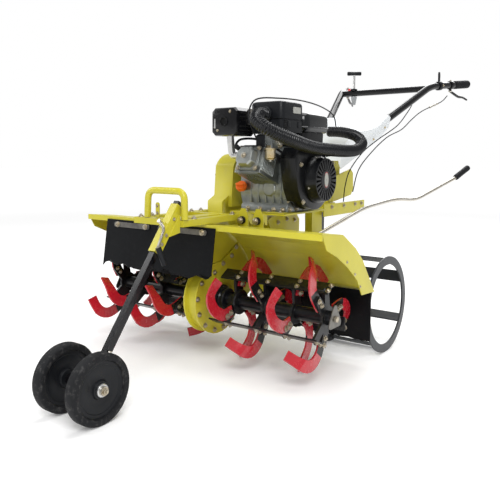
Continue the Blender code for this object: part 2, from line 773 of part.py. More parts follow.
def handle_column():
    """The toothed plates that hold the handlebars' foot on the frame."""
    outline = [(0.652, RAIL_TOP + GAP), (0.698, RAIL_TOP + GAP), (0.810, 0.560), (0.815, 0.620), (0.780, 0.690),
               (0.735, 0.690), (0.710, 0.640), (0.660, 0.590)]
    plates = []
    for side in (-1, 1):
        low, high = sorted((side * 0.032, side * 0.040))
        plates.append(flat("plate", outline, low, high))
    base = box("base", (-0.070, 0.654, RAIL_TOP + 2 * GAP), (0.070, 0.696, RAIL_TOP + 0.030))
    quadrant = [(0.690, RAIL_TOP + 3 * GAP), (0.862, 0.500), (0.884, 0.526), (0.880, 0.596), (0.856, 0.614),
                (0.720, 0.586), (0.690, 0.560)]
    for side in (-1, 1):
        low, high = sorted((side * 0.066, side * 0.072))
        plates.append(flat("quadrant", quadrant, low, high))
    body = combine(plates[0], plates[1:] + [base])
    body.name = "handle_column"
    return cut(body, [rod("bore", (-0.1, *FOOT_BAR), (0.1, *FOOT_BAR), FOOT_BAR_R + GAP, 20)])


def cowl():
    """The plastic cover over the handlebars' lower ends: open below, with a horn round each arm."""
    outline = [(0.690, 0.765), (0.850, 0.780), (0.940, 0.800), (1.030, 0.854), (1.052, 0.846), (1.062, 0.802),
               (0.985, 0.742), (0.700, 0.615), (0.670, 0.640)]
    inside = [(0.698, 0.757), (0.850, 0.772), (0.940, 0.790), (1.028, 0.842), (1.045, 0.838), (1.053, 0.805),
              (0.980, 0.751), (0.830, 0.682), (0.830, 0.580), (0.600, 0.550), (0.600, 0.650), (0.678, 0.650)]
    body = flat("cowl", outline, -0.150, 0.150)
    hollow = cut(flat("hollow", inside, -0.146, 0.146), [cowl_notch(0.930)])
    body = cut(body, [hollow, cowl_notch(0.935)])
    for vertex in body.data.vertices:
        vertex.co.x *= 0.66 + 0.50 * (vertex.co.z - 0.600) / 0.258
    holes = []
    for side in (-1, 1):
        start = Vector((side * ARM_FOOT[0], *ARM_FOOT[1:]))
        end = Vector((side * ARM_BEND[0], *ARM_BEND[1:]))
        holes.append(rod("hole", start.lerp(end, 0.3), end, BAR_TUBE_R + 0.0015, 20))
    return cut(body, holes)


def cowl_notch(y):
    """The wedge between the cowl's horns, from its narrow end at y."""
    low, top, rear = 0.5, 0.95, y + 0.145
    rows = [[(-0.020, y, z), (0.020, y, z), (0.104, rear, z), (-0.104, rear, z)] for z in (low, top)]
    shape = bmesh.new()
    rings = [[shape.verts.new(p) for p in row] for row in rows]
    shape.faces.new(list(reversed(rings[0])))
    shape.faces.new(rings[1])
    for i in range(4):
        j = (i + 1) % 4
        shape.faces.new((rings[0][i], rings[0][j], rings[1][j], rings[1][i]))
    return from_bmesh("notch", shape)


def clutch_lever(name, side):
    bend = Vector((side * ARM_BEND[0], *ARM_BEND[1:]))
    end = Vector((side * ARM_END[0], *ARM_END[1:]))
    along = (end - bend).normalized()
    clamp = bend + along * 0.165
    ring = rod(name, clamp - along * 0.011, clamp + along * 0.011, 0.0215, 20)
    down = Vector((0, 0, -1))
    ear = clamp + down * 0.030
    bends = [clamp + down * 0.018, ear, ear + along * 0.070 + down * 0.030, ear + along * 0.150 + down * 0.050]
    path = rounded(bends, 0.020, 4)
    lever = tube("lever", path, 0.0065, 2)
    hole = rod("hole", clamp - along * 0.05, clamp + along * 0.05, BAR_TUBE_R + GAP, 16)
    return cut(combine(ring, [lever]), [hole])


def throttle_lever():
    bend = Vector(ARM_BEND)
    end = Vector(ARM_END)
    along = (end - bend).normalized()
    base = bend + along * 0.068
    ring = rod("throttle_lever", base - along * 0.012, base + along * 0.012, 0.0220, 20)
    low = (base.x - 0.004, base.y - 0.010, base.z + 0.019)
    high = (base.x + 0.004, base.y + 0.012, base.z + 0.068)
    blade = box("blade", low, high)
    hole = rod("hole", base - along * 0.05, base + along * 0.05, BAR_TUBE_R + GAP, 16)
    return cut(combine(ring, [blade]), [hole])


def t_lever():
    x, y = T_LEVER
    post = rod("t_lever", (x, y, 0.940), (x, y, 1.104), T_ROD_R, 12)
    top = rod("top", (x - 0.030, y - 0.020, 1.103), (x + 0.030, y + 0.020, 1.103), 0.0105, 12)
    return combine(post, [top])


def range_lever():
    points = [(0.160, 0.400, 0.372), (0.245, 0.630, 0.466), (0.295, 0.820, 0.493), (0.335, 0.945, 0.484),
              (0.400, 1.269, 0.571)]
    return tube("range_lever", rounded(points, 0.05, 4), 0.0075, 2)


def range_grip():
    start, end = Vector((0.400, 1.269, 0.571)), Vector((0.430, 1.366, 0.619))
    along = (end - start).normalized()
    return rod("range_grip", start + along * 0.002, end, 0.0135, 16)


def shift_gate():
    plate = box("shift_gate", (0.0804, 0.440, 0.458), (0.170, 0.790, 0.462))
    upstand = box("upstand", (0.166, 0.440, 0.440), (0.170, 0.790, 0.486))
    link = box("link", (0.120, 0.385, 0.355), (0.150, 0.460, 0.460))
    return combine(plate, [upstand, link])


def hitch_post():
    return box("hitch_post", (-0.030, 0.7004, 0.330), (0.010, 0.735, 0.476))


def catmull(points, per):
    """Points of a smooth curve through the given ones."""
    points = [Vector(p) for p in points]
    ends = [points[0] * 2 - points[1]] + points + [points[-1] * 2 - points[-2]]
    path = []
    for a, b, c, d in zip(ends, ends[1:], ends[2:], ends[3:]):
        for i in range(per):
            t = i / per
            path.append(0.5 * (2 * b + (c - a) * t + (2 * a - 5 * b + 4 * c - d) * t * t
                               + (3 * b - a - 3 * c + d) * t ** 3))
    path.append(points[-1])
    return path


HOSE_R = 0.0215
HOSE = ((0.190, 0.0185, 0.796), (0.191, -0.022, 0.794), (0.218, -0.068, 0.772), (0.260, -0.066, 0.744),
        (0.296, 0.000, 0.716), (0.306, 0.110, 0.694), (0.306, 0.230, 0.688), (0.302, 0.350, 0.686),
        (0.290, 0.460, 0.692), (0.264, 0.556, 0.718), (0.215, 0.604, 0.748), (0.150, 0.616, 0.764),
        (0.090, 0.616, 0.768))
THROTTLE = ((0.172, 0.012, 0.700), (0.166, -0.016, 0.745), (0.146, -0.014, 0.792), (0.132, 0.045, 0.848),
            (0.142, 0.170, 0.862), (0.134, 0.350, 0.866), (0.108, 0.540, 0.856), (0.098, 0.645, 0.828),
            (0.092, 0.678, 0.765))
CLUTCH_CABLE = ((0.279, 1.502, 0.975), (0.268, 1.440, 0.940), (0.230, 1.290, 0.888), (0.216, 1.190, 0.842),
                (0.212, 1.080, 0.792), (0.192, 0.960, 0.752), (0.170, 0.840, 0.680), (0.150, 0.770, 0.610),
                (0.140, 0.740, 0.520))
CHOKE_CABLE = ((0.188, 1.262, 0.915), (0.195, 1.190, 0.876), (0.189, 1.080, 0.808), (0.160, 0.930, 0.740),
               (0.140, 0.830, 0.686), (0.124, 0.745, 0.612), (0.119, 0.712, 0.545), (0.118, 0.700, 0.480))


def cables():
    hose = tube("intake_hose", catmull(HOSE, 5), HOSE_R, 2)
    throttle = tube("throttle_cable", catmull(THROTTLE, 5), 0.0025, 2)
    clutch = tube("clutch_cable", catmull(CLUTCH_CABLE, 5), 0.0022, 2)
    brake = tube("choke_cable", catmull(CHOKE_CABLE, 5), 0.0022, 2)
    return hose, throttle, clutch, brake


def shade(thing, name, colour, metallic=0.0, roughness=0.5):
    thing.data.materials.clear()
    thing.data.materials.append(material(name, colour, metallic, roughness))
    return thing


PAINTS = {
    "yellow_paint": ((0.70, 0.66, 0.08), 0.0, 0.4),
    "black_paint": ((0.02, 0.02, 0.022), 0.0, 0.4),
    "red_paint": ((0.60, 0.02, 0.03), 0.0, 0.4),
    "rubber": ((0.03, 0.03, 0.03), 0.0, 0.8),
    "zinc": ((0.62, 0.58, 0.48), 0.9, 0.35),
    "cast_aluminium": ((0.60, 0.60, 0.58), 0.9, 0.45),
    "white_plastic": ((0.85, 0.85, 0.86), 0.0, 0.5),
}


def shade(things, paint):
    for thing in things:
        thing.data.materials.clear()
        thing.data.materials.append(material(paint, *PAINTS[paint]))


def pivot(name, place, parent, things=()):
    """An empty on a joint's axis that carries its moving pieces."""
    empty = bpy.data.objects.new(name, None)
    collection().objects.link(empty)
    empty.parent = parent
    empty.location = Vector(place) - (Vector(parent["place"]) if parent else Vector())
    empty["place"] = place
    for thing in things:
        carry(thing, empty)
    return empty


def carry(thing, empty):
    thing.data.transform(Matrix.Translation(-Vector(empty["place"])))
    thing.parent = empty


def build():
    clear_scene()
    shaft, tines_left, tines_right = rotor()
    leg, foot = strut()
    axle = front_axle(foot)
    wheels = [front_wheel("front_wheel_left", 1), front_wheel("front_wheel_right", -1)]
    cage = [cage_wheel("cage_wheel_left", 1), cage_wheel("cage_wheel_right", -1), rear_axle()]
    yellow = [chain_case(), gearbox(), fender("fender_left", 1), fender("fender_right", -1), main_frame(),
              engine_plate(), bumper_hoop(), strut_sleeve(), belt_cover(), handle_column(), shift_gate()]
    flaps = [rear_panel("rear_flap_left", 1), rear_panel("rear_flap_right", -1), front_flap()]
    metal = [clamp_handle(), range_lever(), t_lever()]
    grips = [range_grip(), grip("grip_left", 1), grip("grip_right", -1)]
    castings = [engine_block(), valve_cover(), carburettor()]
    black = [fan_shroud(), recoil_starter(), muffler(), air_cleaner(), fuel_tank(), handle_frame(),
             clutch_lever("clutch_lever_left", 1), clutch_lever("clutch_lever_right", -1), throttle_lever(),
             hitch_post()]
    cover = cowl()
    lines = list(cables())
    shade(yellow, "yellow_paint")
    shade(black + [shaft, leg, axle] + cage, "black_paint")
    shade([tines_left, tines_right], "red_paint")
    shade(flaps + grips + lines + wheels, "rubber")
    shade(metal, "zinc")
    shade(castings, "cast_aluminium")
    shade([cover], "white_plastic")

    machine = pivot("machine", (0, 0, 0), None, yellow + flaps + metal + grips + castings + black + lines + [cover])
    pivot("rotor", (0, 0, ROTOR_Z), machine, [shaft, tines_left, tines_right])
    pivot("cage_axle", (0, AXLE_Y, CAGE_R), machine, cage)
    leg_base = pivot("front_strut", (STRUT_X, *SLEEVE_LOW), machine, [leg, axle])
    pivot("front_wheels", (STRUT_X, WHEEL_Y, WHEEL_R), leg_base, wheels)
    machine.location.y = -Y_MID
    tools = bpy.data.collections.get("tools")
    bpy.data.collections.remove(tools)


if __name__ == "__main__":
    build()
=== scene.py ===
"""The finished look of a walking tractor with front tines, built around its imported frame."""

import json
import math

import bmesh
import bpy
from mathutils import Matrix, Vector

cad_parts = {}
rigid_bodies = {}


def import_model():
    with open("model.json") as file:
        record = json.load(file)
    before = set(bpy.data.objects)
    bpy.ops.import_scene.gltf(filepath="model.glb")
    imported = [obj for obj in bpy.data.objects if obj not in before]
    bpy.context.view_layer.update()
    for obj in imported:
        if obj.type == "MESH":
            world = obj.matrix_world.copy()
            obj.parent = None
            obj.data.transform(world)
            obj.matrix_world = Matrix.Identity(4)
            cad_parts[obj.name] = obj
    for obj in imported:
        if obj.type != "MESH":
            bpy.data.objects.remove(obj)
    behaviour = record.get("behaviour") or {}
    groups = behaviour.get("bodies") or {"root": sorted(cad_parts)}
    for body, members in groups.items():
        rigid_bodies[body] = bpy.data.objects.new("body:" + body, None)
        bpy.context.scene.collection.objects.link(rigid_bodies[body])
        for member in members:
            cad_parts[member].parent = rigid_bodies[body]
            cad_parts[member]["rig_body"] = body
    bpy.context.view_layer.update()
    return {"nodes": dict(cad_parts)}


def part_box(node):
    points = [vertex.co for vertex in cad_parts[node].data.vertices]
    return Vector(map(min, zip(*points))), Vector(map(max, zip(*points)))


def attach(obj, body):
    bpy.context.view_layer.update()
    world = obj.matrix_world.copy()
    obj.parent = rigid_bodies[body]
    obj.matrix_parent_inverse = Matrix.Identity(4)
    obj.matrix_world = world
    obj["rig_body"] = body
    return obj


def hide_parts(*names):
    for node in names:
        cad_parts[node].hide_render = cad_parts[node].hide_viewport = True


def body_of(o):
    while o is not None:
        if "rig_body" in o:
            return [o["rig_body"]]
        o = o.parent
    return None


bl_info = {
    "name": "Walking Tractor",
    "version": (1, 0, 0),
    "blender": (4, 5, 0),
    "location": "View3D > Sidebar > Tractor",
    "description": "Builds the visible pieces and finishes of a walking tractor around its frame",
    "category": "Add Mesh",
}

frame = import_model()
NODES = frame["nodes"]
SLOTS = {name: node.data.materials[0].name.split(".")[0] for name, node in NODES.items()}


def middle_of(node):
    low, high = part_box(node)
    return (Vector(low) + Vector(high)) / 2


ROTOR = middle_of("rotor_shaft")
CAGE = middle_of("rear_axle")
FRONT = middle_of("front_wheel_left").lerp(middle_of("front_wheel_right"), 0.5)
CHASSIS = "chassis"
X, Y, Z = Vector((1, 0, 0)), Vector((0, 1, 0)), Vector((0, 0, 1))


def at(x, y, z):
    """A point whose y is measured from the rotor's axis."""
    return Vector((x, y + ROTOR.y, z))


# Shader nodes ------------------------------------------------------------------------------------


def plug(tree, value, slot):
    if isinstance(value, Wire):
        tree.links.new(value.socket, slot)
    else:
        slot.default_value = value


class Wire:
    """A node's output that can be used in sums."""

    def __init__(self, tree, socket):
        self.tree = tree
        self.socket = socket

    def sum(self, operation, a, b):
        node = self.tree.nodes.new("ShaderNodeMath")
        node.operation = operation
        plug(self.tree, a, node.inputs[0])
        plug(self.tree, b, node.inputs[1])
        return Wire(self.tree, node.outputs[0])

    def __add__(self, other):
        return self.sum("ADD", self, other)

    __radd__ = __add__

    def __sub__(self, other):
        return self.sum("SUBTRACT", self, other)

    def __rsub__(self, other):
        return self.sum("SUBTRACT", other, self)

    def __mul__(self, other):
        return self.sum("MULTIPLY", self, other)

    __rmul__ = __mul__


class Finish:
    """One material's nodes, with the shader at their end."""

    def __init__(self, name, **constants):
        self.material = bpy.data.materials.new(name)
        self.material.use_nodes = True
        self.tree = self.material.node_tree
        self.tree.nodes.clear()
        self.shader = self.tree.nodes.new("ShaderNodeBsdfPrincipled")
        end = self.tree.nodes.new("ShaderNodeOutputMaterial")
        self.tree.links.new(self.shader.outputs[0], end.inputs[0])
        for slot, value in constants.items():
            self.shader.inputs[slot.replace("_", " ")].default_value = value
        self.place = self.make("ShaderNodeTexCoord", output="Object")

    def make(self, kind, settings=None, inputs=None, output=0):
        node = self.tree.nodes.new(kind)
        for key, value in (settings or {}).items():
            if key == "stops":
                ramp = node.color_ramp
                while len(ramp.elements) < len(value):
                    ramp.elements.new(0.5)
                for element, (position, shade) in zip(ramp.elements, value):
                    element.position = position
                    element.color = (shade, shade, shade, 1)
            else:
                setattr(node, key, value)
        for key, value in (inputs or {}).items():
            plug(self.tree, value, node.inputs[key])
        return Wire(self.tree, node.outputs[output])

    def noise(self, scale, detail=4.0, rough=0.55, stretch=None):
        place = self.place
        if stretch:
            place = self.make("ShaderNodeMapping", inputs={"Vector": place, "Scale": stretch})
        return self.make("ShaderNodeTexNoise", inputs={
            "Vector": place, "Scale": scale, "Detail": detail, "Roughness": rough})

    def ramp(self, value, *stops):
        return self.make("ShaderNodeValToRGB", {"stops": stops}, {"Fac": value})

    def blend(self, factor, a, b):
        """Colour a where the factor is 0 and b where it is 1."""
        return self.make("ShaderNodeMix", {"data_type": "RGBA"}, {0: factor, 6: a, 7: b}, 2)

    def worn_edge(self, radius):
        """About 1 on outer edges and 0 on flats."""
        soft = self.make("ShaderNodeBevel", {"samples": 4}, {"Radius": radius})
        true = self.make("ShaderNodeNewGeometry", output="Normal")
        match = self.make("ShaderNodeVectorMath", {"operation": "DOT_PRODUCT"}, {0: soft, 1: true}, "Value")
        return soft, self.ramp(match, (0.86, 1.0), (0.97, 0.0))

    def bump(self, height, distance, strength=1.0, normal=None):
        inputs = {"Height": height, "Distance": distance, "Strength": strength}
        if normal is not None:
            inputs["Normal"] = normal
        return self.make("ShaderNodeBump", inputs=inputs)

    def finish(self, **links):
        for slot, value in links.items():
            plug(self.tree, value, self.shader.inputs[slot.replace("_", " ")])
        return self.material


def shade(colour, by):
    return (*(min(1.0, c * by) for c in colour[:3]), 1.0)


def painted(name, colour, rough=0.34, coat=0.35, under=(0.20, 0.19, 0.17), wear=0.5, edge=0.0016,
            peel=0.00006, dust=0.25, dust_colour=(0.34, 0.30, 0.24), specular=0.5):
    """Sprayed paint on steel: orange peel, slight colour drift, rubbed edges and dust."""
    f = Finish(name, Coat_Roughness=0.12, Specular_IOR_Level=specular)
    drift = f.noise(6.0, 3.0)
    fine = f.noise(55.0, 6.0, 0.62)
    base = f.blend(f.ramp(drift, (0.32, 0.0), (0.72, 1.0)), shade(colour, 0.90), shade(colour, 1.07))
    dirt = f.ramp(fine, (0.50, 0.0), (0.78, 1.0)) * f.ramp(f.noise(3.0, 2.0), (0.42, 0.0), (0.66, 1.0)) * dust
    base = f.blend(dirt, base, (*dust_colour, 1.0))
    soft, mask = f.worn_edge(edge)
    rubbed = mask * f.ramp(f.noise(90.0, 5.0, 0.7), (0.46, 0.0), (0.60, 1.0)) * wear
    base = f.blend(rubbed, base, (*under, 1.0))
    normal = f.bump(f.noise(420.0, 2.0), peel * 6, 0.6, soft)
    return f.finish(Base_Color=base, Roughness=rough + fine * 0.14 - 0.07 + dirt * 0.4 + rubbed * 0.15,
                    Coat_Weight=coat - dirt * coat, Normal=normal)


def plain_metal(name, colour, second, rough=0.32, scale=30.0, grain=0.00012, grain_scale=300.0, metallic=0.9,
                edge=0.0008, dark=0.35):
    """Bare or plated metal with tarnish in patches and a fine surface grain."""
    f = Finish(name, Metallic=metallic)
    patch = f.noise(scale, 4.0, 0.6)
    fine = f.noise(grain_scale, 3.0, 0.6)
    base = f.blend(f.ramp(patch, (0.36, 0.0), (0.66, 1.0)), (*colour, 1.0), (*second, 1.0))
    base = f.blend(f.ramp(fine, (0.55, 0.0), (0.80, 1.0)) * dark, base, shade(second, 0.35))
    soft, _ = f.worn_edge(edge)
    return f.finish(Base_Color=base, Roughness=rough + patch * 0.22 - 0.11,
                    Normal=f.bump(fine, grain, 0.7, soft))


def moulded(name, colour, rough=0.5, grain=0.0001, grain_scale=600.0, coat=0.0, drift=0.12, bloom=0.10,
            bloom_colour=(0.09, 0.09, 0.095), edge=0.0014, specular=0.18):
    """Moulded plastic or rubber: a fine texture, slight sheen changes and a pale bloom."""
    f = Finish(name, Coat_Roughness=0.10, Specular_IOR_Level=specular)
    patch = f.noise(9.0, 4.0, 0.6)
    fine = f.noise(grain_scale, 2.0, 0.5)
    speck = f.noise(70.0, 6.0, 0.7)
    base = f.blend(patch, shade(colour, 1.0 - drift), shade(colour, 1.0 + drift))
    base = f.blend(f.ramp(speck, (0.52, 0.0), (0.78, 1.0)) * bloom, base, (*bloom_colour, 1.0))
    soft, _ = f.worn_edge(edge)
    return f.finish(Base_Color=base, Roughness=rough + speck * 0.20 - 0.10, Coat_Weight=coat,
                    Normal=f.bump(fine, grain, 0.8, soft))


FINISHES = {}


def make_finishes(look):
    yellow, red = look.yellow[:], look.red[:]
    FINISHES.update({
        "yellow": painted("yellow_paint_finish", yellow, 0.32, 0.15, wear=0.35, dust=0.15, specular=0.35),
        "black": painted("black_paint_finish", (0.004, 0.004, 0.005), 0.20, 0.3, (0.06, 0.06, 0.06), 0.3,
                         dust=0.10, dust_colour=(0.05, 0.05, 0.05), specular=0.22),
        "dark": painted("dark_star_finish", (0.007, 0.0075, 0.009), 0.32, 0.2, (0.12, 0.10, 0.08), 0.6,
                        dust=0.35, dust_colour=(0.07, 0.055, 0.04), specular=0.22),
        "dull": plain_metal("dull_strip_finish", (0.14, 0.135, 0.125), (0.22, 0.21, 0.19), 0.40, 40.0),
        "red": painted("red_paint_finish", red, 0.26, 0.6, (0.20, 0.10, 0.09), 0.5, dust=0.18,
                       dust_colour=(0.30, 0.10, 0.09)),
        "cage": painted("cage_ring_finish", (0.022, 0.024, 0.029), 0.42, 0.10, (0.14, 0.14, 0.15), 0.4,
                        dust=0.25, dust_colour=(0.09, 0.09, 0.10), specular=0.35),
        "zinc": plain_metal("zinc_finish", (0.54, 0.50, 0.42), (0.60, 0.58, 0.54), 0.28, 24.0, 0.00006,
                            dark=0.12),
        "plated": plain_metal("plated_bolt_finish", (0.36, 0.30, 0.20), (0.56, 0.52, 0.44), 0.34, 70.0,
                              0.00006,
                              dark=0.3),
        "steel": plain_metal("bright_steel_finish", (0.50, 0.50, 0.50), (0.62, 0.62, 0.61), 0.30, 30.0,
                             dark=0.15),
        "brass": plain_metal("brass_finish", (0.62, 0.48, 0.25), (0.72, 0.62, 0.42), 0.30, 50.0),
        "cast": plain_metal("cast_aluminium_finish", (0.19, 0.205, 0.20), (0.33, 0.345, 0.33), 0.30, 14.0,
                            0.0005, 260.0, 0.85, 0.003, 0.6),
        "shroud": moulded("satin_shroud_finish", (0.005, 0.0055, 0.0065), 0.30, 0.00014, 500.0, 0.15,
                          bloom=0.03),
        "tank": moulded("gloss_tank_finish", (0.005, 0.006, 0.007), 0.10, 0.00002, 200.0, 0.6, bloom=0.02),
        "plastic": moulded("black_plastic_finish", (0.008, 0.009, 0.011), 0.42, 0.0002, 420.0, 0.05,
                           bloom=0.04),
        "rubber": moulded("rubber_finish", (0.009, 0.0095, 0.011), 0.55, 0.0003, 260.0, bloom=0.06),
        "hose": moulded("ringed_hose_finish", (0.005, 0.0055, 0.007), 0.30, 0.0001, 300.0, 0.25, bloom=0.02),
        "tread": moulded("worn_tread_finish", (0.012, 0.0125, 0.014), 0.72, 0.0006, 150.0, bloom=0.60,
                         bloom_colour=(0.150, 0.145, 0.140)),
        "flap": moulded("rubber_flap_finish", (0.004, 0.0045, 0.0055), 0.46, 0.0003, 300.0, bloom=0.06,
                        specular=0.12),
        "white": moulded("white_cowl_finish", (0.80, 0.83, 0.85), 0.34, 0.00006, 500.0, 0.2, 0.04, 0.10,
                         (0.66, 0.68, 0.70)),
        "grey": moulded("grey_plastic_finish", (0.30, 0.31, 0.32), 0.45, 0.0001, 400.0),
        "orange": moulded("orange_cap_finish", (0.85, 0.16, 0.02), 0.40, 0.0001, 400.0, bloom=0.04),
        "button": moulded("red_button_finish", (0.60, 0.02, 0.02), 0.30, 0.0001, 400.0, 0.4, bloom=0.04),
        "blue": moulded("blue_lever_finish", (0.02, 0.16, 0.62), 0.38, 0.0001, 400.0, bloom=0.05),
        "label": moulded("blank_label_finish", (0.36, 0.36, 0.33), 0.42, 0.00005, 300.0, 0.3, bloom=0.25,
                         bloom_colour=(0.20, 0.20, 0.20)),
        "badge": moulded("blank_badge_finish", (0.34, 0.05, 0.05), 0.30, 0.00005, 300.0, 0.5, bloom=0.10),
        # Near-black painted shadow, put on recesses and thin strips where only the shade of an opening falls.
        "painted_shadow": moulded("deep_shadow_finish", (0.004, 0.004, 0.004), 0.80, 0.0002, 200.0),
    })


# Mesh helpers --------------------------------------------------------------------------------------


def make_object(name, mesh):
    thing = bpy.data.objects.new(name, mesh)
    bpy.context.scene.collection.objects.link(thing)
    return thing


def drop(thing):
    data = thing.data
    bpy.data.objects.remove(thing)
    if isinstance(data, bpy.types.Mesh):
        bpy.data.meshes.remove(data)


class Shape:
    """A mesh being made of several closed forms, each with its own finish."""

    def __init__(self, name):
        self.name = name
        self.mesh = bmesh.new()
        self.finishes = []

    def slot_of(self, finish):
        if finish not in self.finishes:
            self.finishes.append(finish)
        return self.finishes.index(finish)

    def rings(self, rows, finish, closed_ends=True, loop=False):
        """Joins rows of points, each a closed ring, into a skin."""
        slot = self.slot_of(finish)
        made = [[self.mesh.verts.new(p) for p in row] for row in rows]
        faces = []
        pairs = list(zip(made, made[1:]))
        if loop:
            pairs.append((made[-1], made[0]))
        for low, high in pairs:
            count = len(low)
            for i in range(count):
                j = (i + 1) % count
                faces.append(self.mesh.faces.new((low[i], low[j], high[j], high[i])))
        if closed_ends and not loop:
            faces.append(self.mesh.faces.new(list(reversed(made[0]))))
            faces.append(self.mesh.faces.new(made[-1]))
        for face in faces:
            face.material_index = slot
        return faces

    def turned(self, profile, origin, axis, finish, steps=32, loop=False):
        """Spins (radius, distance along the axis) points round an axis."""
        axis = Vector(axis).normalized()
        side = axis.orthogonal().normalized()
        up = axis.cross(side)
        origin = Vector(origin)
        rows = []
        for radius, along in profile:
            centre = origin + axis * along
            row = []
            for i in range(steps):
                turn = 2 * math.pi * i / steps
                row.append(centre + (side * math.cos(turn) + up * math.sin(turn)) * max(radius, 1e-5))
            rows.append(row)
        return self.rings(rows, finish, not loop, loop)

    def rod(self, start, end, radius, finish, steps=20, end_radius=None, ease=0.0012):
        """A round bar with slightly rounded ends."""
        start, end = Vector(start), Vector(end)
        last = radius if end_radius is None else end_radius
        long = (end - start).length
        e = min(ease, radius * 0.4, last * 0.4, long * 0.3)
        profile = [(radius - e, 0), (radius, e), (last, long - e), (last - e, long)]
        return self.turned(profile, start, end - start, finish, steps)

    def tube(self, points, radius, finish, steps=14):
        """A round section carried along a path without twisting."""
        points = [Vector(p) for p in points]
        radii = radius if isinstance(radius, (list, tuple)) else [radius] * len(points)
        heading = (points[1] - points[0]).normalized()
        side = heading.orthogonal().normalized()
        rows = []
        for i, point in enumerate(points):
            ahead = points[min(i + 1, len(points) - 1)] - points[max(i - 1, 0)]
            side = (heading.rotation_difference(ahead.normalized()) @ side).normalized()
            heading = ahead.normalized()
            up = heading.cross(side)
            rows.append([
                point + (side * math.cos(turn) + up * math.sin(turn)) * radii[i]
                for turn in (2 * math.pi * k / steps for k in range(steps))
            ])
        return self.rings(rows, finish)

    def prism(self, outline, thickness, finish, place=None):
        """A flat plate: its outline lies in the first two directions of place, its thickness in the third."""
        place = place or Matrix.Identity(4)
        low = [place @ Vector((a, b, -thickness / 2)) for a, b in outline]
        high = [place @ Vector((a, b, thickness / 2)) for a, b in outline]
        return self.rings([low, high], finish)

    def block(self, low, high, finish, ease=0.0):
        low, high = Vector(low), Vector(high)
        size = high - low
        e = min(ease, min(size) * 0.45)
        outline = soft_rectangle(size.x, size.y, e)
        centre = (low + high) / 2
        rows = []
        for inset, z in ((e, low.z), (0, low.z + e), (0, high.z - e), (e, high.z)) if e else ((0, low.z),
                                                                                              (0, high.z)):
            kx, ky = (size.x - 2 * inset) / size.x, (size.y - 2 * inset) / size.y
            rows.append([Vector((centre.x + a * kx, centre.y + b * ky, z)) for a, b in outline])
        return self.rings(rows, finish)

    def done(self, body=CHASSIS, slot="black_paint", smooth=40.0, replaces=(), weld=0.00002):
        bmesh.ops.remove_doubles(self.mesh, verts=self.mesh.verts, dist=weld)
        bmesh.ops.recalc_face_normals(self.mesh, faces=self.mesh.faces)
        for face in self.mesh.faces:
            face.smooth = True
        mesh = bpy.data.meshes.new(self.name)
        self.mesh.to_mesh(mesh)
        self.mesh.free()
        for finish in self.finishes:
            mesh.materials.append(FINISHES[finish])
        mesh.set_sharp_from_angle(angle=math.radians(smooth))
        thing = make_object(self.name, mesh)
        settle(thing, body, slot, replaces)
        return thing


def settle(thing, body, slot, replaces=()):
    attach(thing, body)
    if replaces:
        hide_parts(*replaces)


def soft_rectangle(width, depth, radius, steps=3):
    """The corners of a rectangle about the origin, rounded."""
    if radius <= 0:
        a, b = width / 2, depth / 2
        return [(a, -b), (a, b), (-a, b), (-a, -b)]
    points = []
    for cx, cy, start in ((1, -1, -90), (1, 1, 0), (-1, 1, 90), (-1, -1, 180)):
        for i in range(steps + 1):
            turn = math.radians(start + 90 * i / steps)
            points.append((cx * (width / 2 - radius) + radius * math.cos(turn),
                           cy * (depth / 2 - radius) + radius * math.sin(turn)))
    return points


def facing(point, normal, up=Z):
    """A frame at a point whose third direction is the normal."""
    normal = Vector(normal).normalized()
    side = Vector(up).cross(normal)
    side = side.normalized() if side.length > 1e-4 else normal.orthogonal().normalized()
    turn = Matrix((side, normal.cross(side), normal)).transposed().to_4x4()
    return Matrix.Translation(Vector(point)) @ turn


def smooth_path(points, per=6):
    """Points of a smooth curve through the given ones."""
    points = [Vector(p) for p in points]
    ends = [points[0] * 2 - points[1]] + points + [points[-1] * 2 - points[-2]]
    path = []
    for a, b, c, d in zip(ends, ends[1:], ends[2:], ends[3:]):
        for i in range(per):
            t = i / per
            path.append(0.5 * (2 * b + (c - a) * t + (2 * a - 5 * b + 4 * c - d) * t * t
                               + (3 * b - a - 3 * c + d) * t ** 3))
    path.append(points[-1])
    return path


def rounded(points, radius, steps=8):
    """A path whose corners are arcs."""
    points = [Vector(p) for p in points]
    path = [points[0]]
    for a, b, c in zip(points, points[1:], points[2:]):
        back, on = (a - b), (c - b)
        reach = min(radius, back.length * 0.45, on.length * 0.45)
        first, last = b + back.normalized() * reach, b + on.normalized() * reach
        for i in range(steps + 1):
            t = i / steps
            path.append(first * (1 - t) ** 2 + b * 2 * t * (1 - t) + last * t * t)
    path.append(points[-1])
    return path


def refined(node, finish, smooth=32.0, slot=None, name=None, split=None):
    """A copy of a frame piece with its loose triangles joined and its round sides shaded smoothly."""
    source = NODES[node]
    shape = bmesh.new()
    shape.from_mesh(source.data)
    bmesh.ops.remove_doubles(shape, verts=shape.verts, dist=0.00002)
    bmesh.ops.dissolve_limit(shape, angle_limit=math.radians(0.6), verts=shape.verts, edges=shape.edges)
    names = [finish]
    for face in shape.faces:
        face.smooth = True
        if split:
            other = split(face)
            if other:
                if other not in names:
                    names.append(other)
                face.material_index = names.index(other)
            else:
                face.material_index = 0
    mesh = bpy.data.meshes.new(name or node + "_skin")
    shape.to_mesh(mesh)
    shape.free()
    for each in names:
        mesh.materials.append(FINISHES[each])
    mesh.set_sharp_from_angle(angle=math.radians(smooth))
    thing = make_object(name or node + "_skin", mesh)
    settle(thing, body_of(source)[0], slot or SLOTS[node], [node])
    return thing


def dress(node, finish):
    """Gives a frame piece its finish."""
    thing = NODES[node]
    for slot in thing.material_slots:
        slot.material = FINISHES[finish]


# Geometry node trees -------------------------------------------------------------------------------


